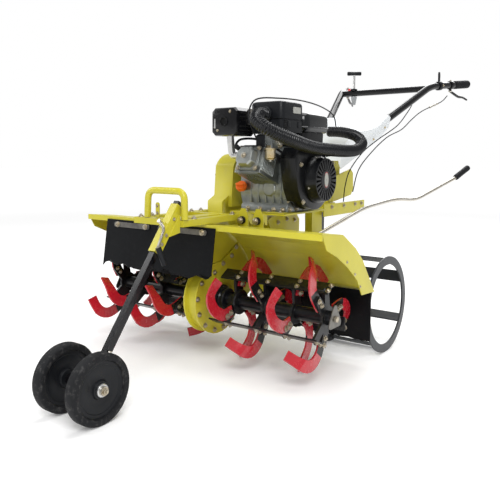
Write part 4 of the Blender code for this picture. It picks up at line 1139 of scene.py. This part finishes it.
def build_starter():
    refined("fan_shroud", "shroud", 34.0)
    low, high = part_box("recoil_starter")
    centre = middle_of("recoil_starter")
    x0, depth = low[0], high[0] - low[0]
    steps = 96
    radius = 0.078
    profile = [(radius, 0), (radius, 0.012), (radius - 0.003, 0.018), (radius - 0.007, depth - 0.005),
               (radius - 0.008, depth - 0.001), (0.0665, depth - 0.0005),
               (0.050, depth - 0.001), (0.035, depth - 0.001), (0.033, depth - 0.003),
               (0.031, depth - 0.0005),
               (0.002, depth)]
    dish = Shape("recoil_starter_skin")
    faces = dish.turned(profile, Vector((x0, centre.y, centre.z)), X, "shroud", steps)
    dish.mesh.faces.ensure_lookup_table()
    slots = []
    for face in faces:
        middle = face.calc_center_median()
        away = math.hypot(middle.y - centre.y, middle.z - centre.z)
        turn = math.atan2(middle.z - centre.z, middle.y - centre.y)
        index = int(((turn + 2 * math.pi) % (2 * math.pi)) / (2 * math.pi) * steps)
        ring = 0.050 < away < 0.0665 or 0.0355 < away < 0.050
        if len(face.verts) == 4 and ring and index % 4 in (0, 1):
            slots.append(face)
    # The recessed slot faces get the near-black painted shadow finish: painted shade inside the slots.
    painted_shadow = dish.slot_of("painted_shadow")
    result = bmesh.ops.extrude_face_region(dish.mesh, geom=slots)
    moved = [v for v in result["geom"] if isinstance(v, bmesh.types.BMVert)]
    bmesh.ops.translate(dish.mesh, verts=moved, vec=(-0.006, 0, 0))
    for face in result["geom"]:
        if isinstance(face, bmesh.types.BMFace):
            face.material_index = painted_shadow
    bmesh.ops.delete(dish.mesh, geom=slots, context="FACES")
    dish.done(CHASSIS, "black_paint", 30.0, ["recoil_starter"])
    badge = Shape("starter_badge")
    face_x = x0 + depth - 0.0012
    oval = [(0.026 * math.cos(t * math.pi / 24), 0.0155 * math.sin(t * math.pi / 24)) for t in range(48)]
    inner = [(a * 0.88, b * 0.84) for a, b in oval]
    place = facing(Vector((face_x, centre.y, centre.z)), X, Y)
    badge.rings([[place @ Vector((a, b, 0)) for a, b in oval],
                 [place @ Vector((a, b, 0.0009)) for a, b in oval]], "badge")
    badge.rings([[place @ Vector((a, b, 0.0008)) for a, b in inner],
                 [place @ Vector((a, b, 0.0012)) for a, b in inner]], "label")
    badge.done(CHASSIS, "black_paint", 30.0)
    rows = []
    for i in range(4):
        y, z = polar(0.0745, 20 + 90 * i)
        rows.append(((x0 + 0.0135, centre.y + y, centre.z + z), (1, 0, 0), 0.5))
    bolts("starter_screws", rows, finish="zinc")
    grip = Shape("starter_grip")
    spot = at(0.262, 0.278, 0.672)
    grip.rod(spot, spot + Vector((0.034, 0.004, 0.004)), 0.0075, "plastic", 20)
    grip.done(CHASSIS, "rubber")
    screws = []
    for y, z in ((0.112, 0.520), (0.098, 0.640), (0.160, 0.685), (0.225, 0.685), (0.262, 0.522)):
        screws.append((at(0.2724, y, z), (1, 0, 0), 0.8))
    bolts("shroud_bolts", screws)


def build_muffler():
    guard = Shape("muffler_skin")
    x0, x1 = 0.018, 0.121
    y0, y1, z0, z1 = -0.042, 0.056, 0.7305, 0.820
    cx, cz = (x0 + x1) / 2, (z0 + z1) / 2
    outline = octagon(x1 - x0, z1 - z0, 0.011)
    rows = []
    for inset, y in ((0.012, y0), (0.003, y0 + 0.003), (0.0, y0 + 0.010), (0.0, y1 - 0.004), (0.004, y1)):
        rows.append([at(cx + a * (1 - 2 * inset / (x1 - x0)), y, cz + b * (1 - 2 * inset / (z1 - z0)))
                     for a, b in outline])
    guard.rings(rows, "black")
    path = rounded([at(0.055, 0.010, 0.740), at(0.055, 0.022, 0.668), at(0.0876, 0.022, 0.668)], 0.016, 8)
    guard.tube(path, 0.0118, "steel", 20)
    guard.done(CHASSIS, "black_paint", 26.0, ["muffler"])
    details = Shape("muffler_details")
    # Thin near-black strips on the guard are painted shadow standing for its slots.
    for z in (0.748, 0.760, 0.790, 0.802):
        details.block(at(0.1206, -0.026, z - 0.0018), at(0.1218, 0.040, z + 0.0018), "painted_shadow", 0.0005)
    details.turned([(0.012, 0), (0.016, 0), (0.016, 0.0030), (0.012, 0.0030)], at(0.070, y0 - 0.0002, 0.776),
                   (0, -1, 0), "black", 32, True)
    # A thin near-black disc inside the outlet ring is painted shadow in the pipe's opening.
    details.turned([(0, 0), (0.0118, 0), (0.0118, 0.0008), (0, 0.0008)], at(0.070, y0 - 0.0002, 0.776),
                   (0, -1, 0), "painted_shadow", 32)
    details.block(at(0.0305, y0 - 0.0012, 0.755), at(0.0365, y0 + 0.001, 0.785), "steel", 0.0005)
    details.prism(soft_rectangle(0.074, 0.050, 0.006), 0.003, "zinc",
                  facing(at(0.152, 0.024, 0.792), (0, -1, 0)))
    details.done(CHASSIS, "black_paint", 30.0)
    rows = [(at(0.045, y0 + 0.0015, 0.748), (0, -1, 0), 0.6),
            (at(0.095, y0 + 0.0015, 0.806), (0, -1, 0), 0.6)]
    bolts("muffler_bolts", rows)


def build_air_cleaner():
    case = Shape("air_cleaner_skin")
    low, high = Vector((0.128, 0.020, 0.738)), Vector((0.250, 0.150, 0.838))
    centre = (low + high) / 2
    size = high - low
    rows = []
    outline = soft_rectangle(size.x, size.y, 0.016, 6)
    for inset, z in ((0.004, low.z), (0.0006, low.z + 0.003), (0.0006, 0.7795), (0.0028, 0.7805),
                     (0.0028, 0.7825),
                     (0.0, 0.7835), (0.0, high.z - 0.010), (0.0028, high.z - 0.003), (0.010, high.z)):
        kx, ky = (size.x - 2 * inset) / size.x, (size.y - 2 * inset) / size.y
        rows.append([at(centre.x + a * kx, centre.y + b * ky, z) for a, b in outline])
    case.rings(rows, "plastic")
    case.done(CHASSIS, "black_paint", 40.0, ["air_cleaner"])
    extra = Shape("air_cleaner_details")
    extra.prism(soft_rectangle(0.046, 0.020, 0.003), 0.0012, "label", facing(at(0.2505, 0.106, 0.812), X))
    for y in (0.060, 0.120):
        extra.block(at(0.2496, y - 0.008, 0.757), at(0.2508, y + 0.008, 0.7765), "plastic", 0.0006)
    # Seven thin near-black strips are painted shadow standing for the vent slots.
    for i in range(7):
        z = 0.744 + 0.0052 * i
        extra.block(at(0.2492, 0.032, z), at(0.2504, 0.050, z + 0.0026), "painted_shadow", 0.0004)
    extra.turned([(0, 0), (0.010, 0), (0.010, 0.003), (0.006, 0.005), (0, 0.005)], at(0.189, 0.085, 0.8330),
                 Z,
                 "plastic", 24)
    extra.turned([(0.0190, 0), (0.0245, 0), (0.0245, 0.010), (0.0228, 0.012), (0.0190, 0.012)],
                 at(0.190, 0.0195, 0.7965), (0, -1, 0.02), "plastic", 40, True)
    extra.done(CHASSIS, "black_paint", 35.0)


def build_fuel_tank():
    tank = Shape("fuel_tank_skin")
    low, high = Vector((0.030, 0.156, 0.745)), Vector((0.255, 0.330, 0.812))
    centre, size = (low + high) / 2, high - low
    outline = soft_rectangle(size.x, size.y, 0.030, 6)
    rows = []
    for inset, z in ((0.010, low.z), (0.003, low.z + 0.003), (0.0012, low.z + 0.012), (-0.0, low.z + 0.014),
                     (-0.0, low.z + 0.018), (0.0016, low.z + 0.020), (0.0026, high.z - 0.018),
                     (0.0055, high.z - 0.008), (0.013, high.z - 0.002), (0.026, high.z)):
        kx, ky = (size.x - 2 * inset) / size.x, (size.y - 2 * inset) / size.y
        rows.append([at(centre.x + a * kx, centre.y + b * ky, z) for a, b in outline])
    tank.rings(rows, "tank")
    lower = soft_rectangle(0.195, 0.145, 0.022, 5)
    tank.rings([[at(0.1425 + a * k, 0.2425 + b * k, z) for a, b in lower]
                for k, z in ((0.94, 0.700), (0.985, 0.704), (1.0, 0.746))], "shroud")
    tank.block(at(0.060, 0.190, 0.6677), at(0.200, 0.270, 0.702), "cast", 0.004)
    tank.turned([(0, 0), (0.030, 0), (0.030, 0.004), (0.027, 0.0055), (0.027, 0.014), (0.025, 0.0165),
                 (0, 0.0165)],
                at(0.090, 0.215, 0.8110), Z, "plastic", 48)
    tank.done(CHASSIS, "black_paint", 38.0, ["fuel_tank"])


# Handlebars and controls ---------------------------------------------------------------------------

ARM_FOOT = (0.0616, 0.750, 0.665)
ARM_BEND = (0.239, 1.372, 1.012)
ARM_END = (0.325, 1.6728, 1.046)


def arm_points(sign):
    foot = at(sign * ARM_FOOT[0], *ARM_FOOT[1:])
    bend = at(sign * ARM_BEND[0], *ARM_BEND[1:])
    end = at(sign * ARM_END[0], *ARM_END[1:])
    return foot, bend, end, (end - bend).normalized()


def build_handlebars():
    bars = Shape("handle_frame_skin")
    for sign in (-1, 1):
        foot, bend, end, along = arm_points(sign)
        bars.tube(rounded([foot, bend, end - along * 0.110], 0.045, 12), 0.0164, "black", 32)
    bars.rod(at(-0.236, 1.352, 1.000), at(0.236, 1.352, 1.000), 0.0154, "black", 32)
    bars.rod(at(-0.0638, 0.754, 0.669), at(0.0638, 0.754, 0.669), 0.0124, "black", 28)
    bars.done(CHASSIS, "black_paint", 40.0, ["handle_frame"])
    rubber = Shape("hand_grips")
    for sign in (-1, 1):
        foot, bend, end, along = arm_points(sign)
        profile = [(0.0168, 0), (0.0194, 0.0004), (0.0204, 0.003), (0.0190, 0.006)]
        spot = 0.010
        while spot < 0.104:
            profile += [(0.0190, spot), (0.0203, spot + 0.0012), (0.0203, spot + 0.0030),
                        (0.0190, spot + 0.0042)]
            spot += 0.0064
        profile += [(0.0196, 0.110), (0.0203, 0.112), (0.0200, 0.1165), (0.0170, 0.1176), (0, 0.1176)]
        rubber.turned([(0, 0)] + profile, end - along * 0.1176, along, "rubber", 32)
    rubber.done(CHASSIS, "rubber", 30.0, ["grip_left", "grip_right"])


def build_levers():
    for sign, side in ((1, "left"), (-1, "right")):
        _, bend, _, along = arm_points(sign)
        clamp = bend + along * 0.165
        down = Vector((0, 0, -1))
        lever = Shape("clutch_lever_" + side + "_skin")
        lever.turned([(0.0168, -0.011), (0.0202, -0.011), (0.0214, -0.009), (0.0214, 0.009), (0.0202, 0.011),
                      (0.0168, 0.011)], clamp, along, "black", 32, True)
        ear = clamp + down * 0.030
        lever.tube(smooth_path([clamp + down * 0.018, clamp + down * 0.024, ear], 4), 0.0064, "black", 14)
        blade_path = smooth_path([ear + down * 0.001, ear + along * 0.022 + down * 0.010,
                                  ear + along * 0.070 + down * 0.030, ear + along * 0.110 + down * 0.036,
                                  ear + along * 0.149 + down * 0.050], 6)
        widths = [0.0050 + 0.0015 * math.sin(math.pi * min(1.0, i / (len(blade_path) - 1) * 1.2))
                  for i in range(len(blade_path))]
        lever.tube(blade_path, widths, "black", 14)
        lever.rod(ear + Vector((-0.0085, 0, 0)), ear + Vector((0.0085, 0, 0)), 0.0042, "zinc", 16)
        lever.done(CHASSIS, "black_paint", 40.0, ["clutch_lever_" + side])
    _, bend, _, along = arm_points(1)
    base = bend + along * 0.068
    thumb = Shape("throttle_lever_skin")
    thumb.turned([(0.0168, -0.012), (0.0208, -0.012), (0.0219, -0.010), (0.0219, 0.010), (0.0208, 0.012),
                  (0.0168, 0.012)], base, along, "plastic", 32, True)
    rows = []
    for z, wide, thick in ((0.019, 0.0100, 0.0038), (0.034, 0.0090, 0.0036), (0.052, 0.0102, 0.0036),
                           (0.064, 0.0088, 0.0032), (0.0678, 0.0045, 0.0020)):
        outline = soft_rectangle(2 * thick, 2 * wide, thick * 0.9, 3)
        rows.append([Vector((base.x + a, base.y + b + 0.001, base.z + z)) for a, b in outline])
    thumb.rings(rows, "plastic")
    thumb.done(CHASSIS, "black_paint", 40.0, ["throttle_lever"])
    clamps = []
    for sign in (-1, 1):
        _, bend, _, along = arm_points(sign)
        clamps.append((bend + along * 0.165 + Z * 0.0212, Z, 0.62))
    clamps.append((base + X * 0.0218, X, 0.62))
    bolts("clamp_screws", clamps)
    tee = Shape("t_lever_skin")
    x, y = -0.160, 1.352
    tee.rod(at(x, y, 0.9402), at(x, y, 1.100), 0.0054, "steel", 20)
    tee.tube([at(x - 0.030, y - 0.020, 1.103), at(x - 0.027, y - 0.018, 1.103), at(x, y, 1.103),
              at(x + 0.027, y + 0.018, 1.103), at(x + 0.030, y + 0.020, 1.103)],
             [0.0075, 0.0103, 0.0094, 0.0103, 0.0075], "plastic", 20)
    tee.done(CHASSIS, "zinc", 40.0, ["t_lever"])
    cone = Shape("t_lever_housing")
    cone.turned([(0.0058, 0), (0.008, 0), (0.0145, 0.034), (0.0145, 0.042), (0.0058, 0.042)],
                at(x, y, 0.9410), Z,
                "grey", 28, True)
    cone.turned([(0.0058, 0), (0.017, 0), (0.017, 0.006), (0.012, 0.009), (0.0058, 0.009)],
                at(x, y, 1.0156), Z,
                "plastic", 28, True)
    cone.rod(at(x - 0.026, y - 0.002, 1.0150), at(x - 0.026, y - 0.002, 1.026), 0.0070, "button", 20, 0.0056)
    cone.done(CHASSIS, "black_paint", 40.0)


def build_range_lever():
    points = [at(0.160, 0.400, 0.372), at(0.245, 0.630, 0.466), at(0.295, 0.820, 0.493),
              at(0.335, 0.945, 0.484),
              at(0.400, 1.269, 0.571)]
    lever = Shape("range_lever_skin")
    lever.tube(rounded(points, 0.05, 8), 0.0074, "zinc", 24)
    lever.done(CHASSIS, "zinc", 40.0, ["range_lever"])
    grip = Shape("range_grip_skin")
    start, end = at(0.400, 1.269, 0.571), at(0.430, 1.366, 0.619)
    along = (end - start).normalized()
    long = (end - start).length - 0.002
    profile = [(0, 0), (0.0108, 0), (0.0122, 0.002), (0.0134, 0.010), (0.0128, long * 0.5),
               (0.0135, long - 0.012),
               (0.0126, long - 0.003), (0.0095, long), (0, long)]
    grip.turned(profile, start + along * 0.002, along, "rubber", 28)
    grip.done(CHASSIS, "rubber", 40.0, ["range_grip"])
    gate = Shape("shift_gate_details")
    gate.prism(soft_rectangle(0.060, 0.012, 0.005), 0.003, "blue", facing(at(0.130, 0.640, 0.4645), Z, X))
    gate.rod(at(0.140, 0.560, 0.4620), at(0.140, 0.560, 0.474), 0.012, "zinc", 24)
    gate.rod(at(0.126, 0.700, 0.4620), at(0.126, 0.700, 0.470), 0.009, "zinc", 6)
    gate.done(CHASSIS, "zinc", 30.0)


HOSE = ((0.190, 0.0185, 0.796), (0.191, -0.022, 0.794), (0.218, -0.068, 0.772), (0.260, -0.066, 0.744),
        (0.296, 0.000, 0.716), (0.306, 0.110, 0.694), (0.306, 0.230, 0.688), (0.302, 0.350, 0.686),
        (0.290, 0.460, 0.692), (0.264, 0.556, 0.718), (0.215, 0.604, 0.748), (0.150, 0.616, 0.764),
        (0.090, 0.616, 0.768))
THROTTLE = ((0.172, 0.012, 0.700), (0.166, -0.016, 0.745), (0.146, -0.014, 0.792), (0.132, 0.045, 0.848),
            (0.142, 0.170, 0.862), (0.134, 0.350, 0.866), (0.108, 0.540, 0.856), (0.098, 0.645, 0.828),
            (0.092, 0.678, 0.765))
CLUTCH_CABLE = ((0.279, 1.502, 0.975), (0.268, 1.440, 0.940), (0.230, 1.290, 0.888), (0.216, 1.190, 0.842),
                (0.212, 1.080, 0.792), (0.192, 0.960, 0.752), (0.170, 0.840, 0.680), (0.150, 0.770, 0.610),
                (0.140, 0.740, 0.520))
CHOKE_CABLE = ((0.188, 1.262, 0.915), (0.195, 1.190, 0.876), (0.189, 1.080, 0.808), (0.160, 0.930, 0.740),
               (0.140, 0.830, 0.686), (0.124, 0.745, 0.612), (0.119, 0.712, 0.545), (0.118, 0.700, 0.480))


def build_hose(look):
    curve = bpy.data.curves.new("hose_path", "CURVE")
    curve.dimensions = "3D"
    spline = curve.splines.new("POLY")
    path = smooth_path([at(*p) for p in HOSE], 12)
    spline.points.add(len(path) - 1)
    for point, place in zip(spline.points, path):
        point.co = (*place, 1)
    grown(make_object("hose_path", curve), "bellows", "intake_hose_skin", CHASSIS, "rubber",
          {"Radius": 0.0198, "Ring height": 0.0034, "Rings": float(look.hose_rings),
           "Samples": look.hose_rings * 7,
           "Sides": 28, "Finish": FINISHES["hose"]}, ["intake_hose"], smooth=70.0)


def build_cables():
    for node, points, radius in (("throttle_cable", THROTTLE, 0.0025), ("clutch_cable", CLUTCH_CABLE, 0.0022),
                                 ("choke_cable", CHOKE_CABLE, 0.0022)):
        cable = Shape(node + "_skin")
        cable.tube(smooth_path([at(*p) for p in points], 8), radius, "rubber", 14)
        cable.done(CHASSIS, "rubber", 60.0, [node])
    ends = Shape("cable_adjusters")
    a, b = at(0.268, 1.440, 0.940), at(0.230, 1.290, 0.888)
    along = (b - a).normalized()
    ends.rod(a + along * 0.030, a + along * 0.100, 0.0042, "zinc", 16)
    for shift in (0.028, 0.052, 0.092):
        ends.rod(a + along * shift, a + along * (shift + 0.008), 0.0062, "zinc", 6)
    ends.done(CHASSIS, "zinc", 30.0)


def build_cowl():
    refined("cowl", "white", 30.0)
    rows = []
    for sign in (-1, 1):
        for y, z in ((0.935, 0.745), (1.020, 0.800), (0.760, 0.690)):
            width = 0.150 * (0.66 + 0.50 * (z - 0.600) / 0.258)
            rows.append((at(sign * (width + 0.0002), y, z), (sign, 0, 0.0), 0.55))
    bolts("cowl_screws", rows, finish="brass")


# The scene -----------------------------------------------------------------------------------------


def build_stage(look):
    f = Finish("floor_finish")
    patch = f.noise(0.6, 2.0)
    far = f.make("ShaderNodeVectorMath", {"operation": "LENGTH"}, {0: f.place}, "Value")
    away = f.make("ShaderNodeMapRange", inputs={0: far, 1: 2.4, 2: 6.0, 3: 0.0, 4: 1.0})
    white = f.blend(patch, (0.88, 0.88, 0.88, 1), (0.90, 0.90, 0.90, 1))
    f.shader.inputs["Emission Strength"].default_value = 1.0
    f.finish(Base_Color=f.blend(away, white, (0, 0, 0, 1)), Roughness=patch * 0.1 + 0.70,
             Emission_Color=f.blend(away, (0.16, 0.16, 0.16, 1), (1, 1, 1, 1)))
    mesh = bpy.data.meshes.new("floor")
    size = 30.0
    mesh.from_pydata([(-size, -size, 0), (size, -size, 0), (size, size, 0), (-size, size, 0)], [],
                     [(0, 1, 2, 3)])
    mesh.materials.append(f.material)
    make_object("floor", mesh)
    world = bpy.data.worlds.new("studio")
    bpy.context.scene.world = world
    world.use_nodes = True
    ground = world.node_tree.nodes["Background"]
    ground.inputs[0].default_value = (1, 1, 1, 1)
    seen = world.node_tree.nodes.new("ShaderNodeLightPath")
    share = Wire(world.node_tree, seen.outputs["Is Camera Ray"]) * (1.0 - look.sky) + look.sky
    world.node_tree.links.new(share.socket, ground.inputs[1])
    for name, place, size, power in (
        ("key", (2.6, -3.4, 3.6), 2.2, look.key), ("side", (-3.8, -1.6, 2.6), 2.4, look.key * 0.45),
        ("back", (-0.6, 3.6, 3.2), 2.6, look.key * 0.6), ("top", (0.4, 0.2, 4.2), 2.6, look.key * 0.5),
    ):
        light = bpy.data.lights.new(name, "AREA")
        light.energy = power
        light.size = size
        lamp = bpy.data.objects.new(name, light)
        bpy.context.scene.collection.objects.link(lamp)
        lamp.location = place
        lamp.rotation_euler = (Vector((0, 0, 0.45)) - Vector(place)).to_track_quat("-Z", "Y").to_euler()
    camera = bpy.data.objects.new("camera", bpy.data.cameras.new("camera"))
    bpy.context.scene.collection.objects.link(camera)
    camera.location = (1.2467, -2.0274, 0.6602)
    turn = Matrix.Rotation(math.radians(36.6), 4, "Z") @ Matrix.Rotation(math.radians(90 - 4.18), 4, "X")
    camera.rotation_euler = (turn @ Matrix.Rotation(math.radians(0.18), 4, "Z")).to_euler()
    camera.data.lens = 42.72
    camera.data.sensor_width = 36.0
    camera.data.shift_x = 0.0168
    camera.data.shift_y = -0.0972
    bpy.context.scene.camera = camera
    bpy.context.scene.view_settings.view_transform = "Standard"


class TractorLook(bpy.types.PropertyGroup):
    """The colours and sizes that a user would change."""

    yellow: bpy.props.FloatVectorProperty(
        name="Yellow paint", description="Colour of the frame, fenders and cases", size=3, subtype="COLOR",
        default=(0.56, 0.50, 0.030), min=0, max=1)
    red: bpy.props.FloatVectorProperty(
        name="Red paint", description="Colour of the tine blades", size=3, subtype="COLOR",
        default=(0.50, 0.012, 0.025), min=0, max=1)
    hose_rings: bpy.props.IntProperty(
        name="Hose rings", description="Rings along the intake hose", default=132, min=20, max=400)
    key: bpy.props.FloatProperty(
        name="Main light", description="Power of the main light", default=150.0, min=0,
        subtype="POWER", unit="POWER")
    sky: bpy.props.FloatProperty(
        name="Surround", description="Brightness of the white surround", default=0.42, min=0)


class TRACTOR_OT_stage(bpy.types.Operator):
    """Makes the floor, the lights and the camera."""

    bl_idname = "tractor.stage"
    bl_label = "Stage"

    def execute(self, context):
        build_stage(context.scene.tractor_look)
        return {"FINISHED"}


class TRACTOR_OT_finishes(bpy.types.Operator):
    """Makes every paint, metal, plastic and rubber."""

    bl_idname = "tractor.finishes"
    bl_label = "Finishes"

    def execute(self, context):
        make_finishes(context.scene.tractor_look)
        return {"FINISHED"}


class TRACTOR_OT_rotor(bpy.types.Operator):
    """Builds both sets of tines with their bolts."""

    bl_idname = "tractor.rotor"
    bl_label = "Tines and stars"

    def execute(self, context):
        build_rotor()
        return {"FINISHED"}


class TRACTOR_OT_cases(bpy.types.Operator):
    """Builds the chain case, its seals and the gearbox."""

    bl_idname = "tractor.cases"
    bl_label = "Chain case and gearbox"

    def execute(self, context):
        build_chain_case()
        build_gearbox()
        return {"FINISHED"}


class TRACTOR_OT_cage_wheels(bpy.types.Operator):
    """Builds both cage wheels and their axle."""

    bl_idname = "tractor.cage_wheels"
    bl_label = "Cage wheels"

    def execute(self, context):
        build_cage_wheels()
        return {"FINISHED"}


class TRACTOR_OT_front_wheels(bpy.types.Operator):
    """Builds the tyres, wheel discs and hub nuts."""

    bl_idname = "tractor.front_wheels"
    bl_label = "Front wheels"

    def execute(self, context):
        build_front_wheels()
        return {"FINISHED"}


class TRACTOR_OT_strut(bpy.types.Operator):
    """Builds the strut's sleeve details and clamp handle."""

    bl_idname = "tractor.strut"
    bl_label = "Front strut"

    def execute(self, context):
        build_strut()
        return {"FINISHED"}


class TRACTOR_OT_frame_steel(bpy.types.Operator):
    """Builds the hoop, rails and brackets with their bolts."""

    bl_idname = "tractor.frame_steel"
    bl_label = "Frame"

    def execute(self, context):
        build_frame()
        return {"FINISHED"}


class TRACTOR_OT_fenders(bpy.types.Operator):
    """Finishes the fenders and their bolts."""

    bl_idname = "tractor.fenders"
    bl_label = "Fenders"

    def execute(self, context):
        build_fenders()
        return {"FINISHED"}


class TRACTOR_OT_front_flap(bpy.types.Operator):
    """Builds the rubber apron and its clamp strips."""

    bl_idname = "tractor.front_flap"
    bl_label = "Front flap"

    def execute(self, context):
        build_flaps()
        return {"FINISHED"}


class TRACTOR_OT_engine(bpy.types.Operator):
    """Builds the engine's castings, fins and small parts."""

    bl_idname = "tractor.engine"
    bl_label = "Engine"

    def execute(self, context):
        build_engine()
        return {"FINISHED"}


class TRACTOR_OT_starter(bpy.types.Operator):
    """Builds the fan shroud, the slotted starter and its blank badge."""

    bl_idname = "tractor.starter"
    bl_label = "Starter"

    def execute(self, context):
        build_starter()
        return {"FINISHED"}


class TRACTOR_OT_muffler(bpy.types.Operator):
    """Builds the muffler and its guard."""

    bl_idname = "tractor.muffler"
    bl_label = "Muffler"

    def execute(self, context):
        build_muffler()
        return {"FINISHED"}


class TRACTOR_OT_air_cleaner(bpy.types.Operator):
    """Builds the air cleaner's case."""

    bl_idname = "tractor.air_cleaner"
    bl_label = "Air cleaner"

    def execute(self, context):
        build_air_cleaner()
        return {"FINISHED"}


class TRACTOR_OT_fuel_tank(bpy.types.Operator):
    """Builds the fuel tank and its cap."""

    bl_idname = "tractor.fuel_tank"
    bl_label = "Fuel tank"

    def execute(self, context):
        build_fuel_tank()
        return {"FINISHED"}


class TRACTOR_OT_handlebars(bpy.types.Operator):
    """Builds the tubes and the hand grips."""

    bl_idname = "tractor.handlebars"
    bl_label = "Handlebars"

    def execute(self, context):
        build_handlebars()
        return {"FINISHED"}


class TRACTOR_OT_levers(bpy.types.Operator):
    """Builds the levers on the handlebars."""

    bl_idname = "tractor.levers"
    bl_label = "Levers"

    def execute(self, context):
        build_levers()
        return {"FINISHED"}


class TRACTOR_OT_range_lever(bpy.types.Operator):
    """Builds the long lever, its grip and its gate."""

    bl_idname = "tractor.range_lever"
    bl_label = "Range lever"

    def execute(self, context):
        build_range_lever()
        return {"FINISHED"}


class TRACTOR_OT_hose(bpy.types.Operator):
    """Builds the ringed intake hose."""

    bl_idname = "tractor.hose"
    bl_label = "Hose"

    def execute(self, context):
        build_hose(context.scene.tractor_look)
        return {"FINISHED"}


class TRACTOR_OT_cables(bpy.types.Operator):
    """Builds the control cables and their adjusters."""

    bl_idname = "tractor.cables"
    bl_label = "Cables"

    def execute(self, context):
        build_cables()
        return {"FINISHED"}


class TRACTOR_OT_cowl(bpy.types.Operator):
    """Finishes the white cowl and its screws."""

    bl_idname = "tractor.cowl"
    bl_label = "Cowl"

    def execute(self, context):
        build_cowl()
        return {"FINISHED"}


STEPS = (
    TRACTOR_OT_stage,
    TRACTOR_OT_finishes,
    TRACTOR_OT_rotor,
    TRACTOR_OT_cases,
    TRACTOR_OT_cage_wheels,
    TRACTOR_OT_front_wheels,
    TRACTOR_OT_strut,
    TRACTOR_OT_frame_steel,
    TRACTOR_OT_fenders,
    TRACTOR_OT_front_flap,
    TRACTOR_OT_engine,
    TRACTOR_OT_starter,
    TRACTOR_OT_muffler,
    TRACTOR_OT_air_cleaner,
    TRACTOR_OT_fuel_tank,
    TRACTOR_OT_handlebars,
    TRACTOR_OT_levers,
    TRACTOR_OT_range_lever,
    TRACTOR_OT_hose,
    TRACTOR_OT_cables,
    TRACTOR_OT_cowl,
)


class TRACTOR_PT_panel(bpy.types.Panel):
    """Lists the steps and their settings."""

    bl_idname = "TRACTOR_PT_panel"
    bl_label = "Walking Tractor"
    bl_space_type = "VIEW_3D"
    bl_region_type = "UI"
    bl_category = "Tractor"

    def draw(self, context):
        look = context.scene.tractor_look
        for setting in ("yellow", "red", "hose_rings", "key", "sky"):
            self.layout.prop(look, setting)
        for each in STEPS:
            self.layout.operator(each.bl_idname)


CLASSES = (TractorLook, *STEPS, TRACTOR_PT_panel)


def register():
    for each in CLASSES:
        bpy.utils.register_class(each)
    bpy.types.Scene.tractor_look = bpy.props.PointerProperty(type=TractorLook)


def unregister():
    del bpy.types.Scene.tractor_look
    for each in reversed(CLASSES):
        bpy.utils.unregister_class(each)


def main():
    register()
    for each in STEPS:
        group, name = each.bl_idname.split(".")
        getattr(getattr(bpy.ops, group), name)()


if __name__ == "__main__":
    main()
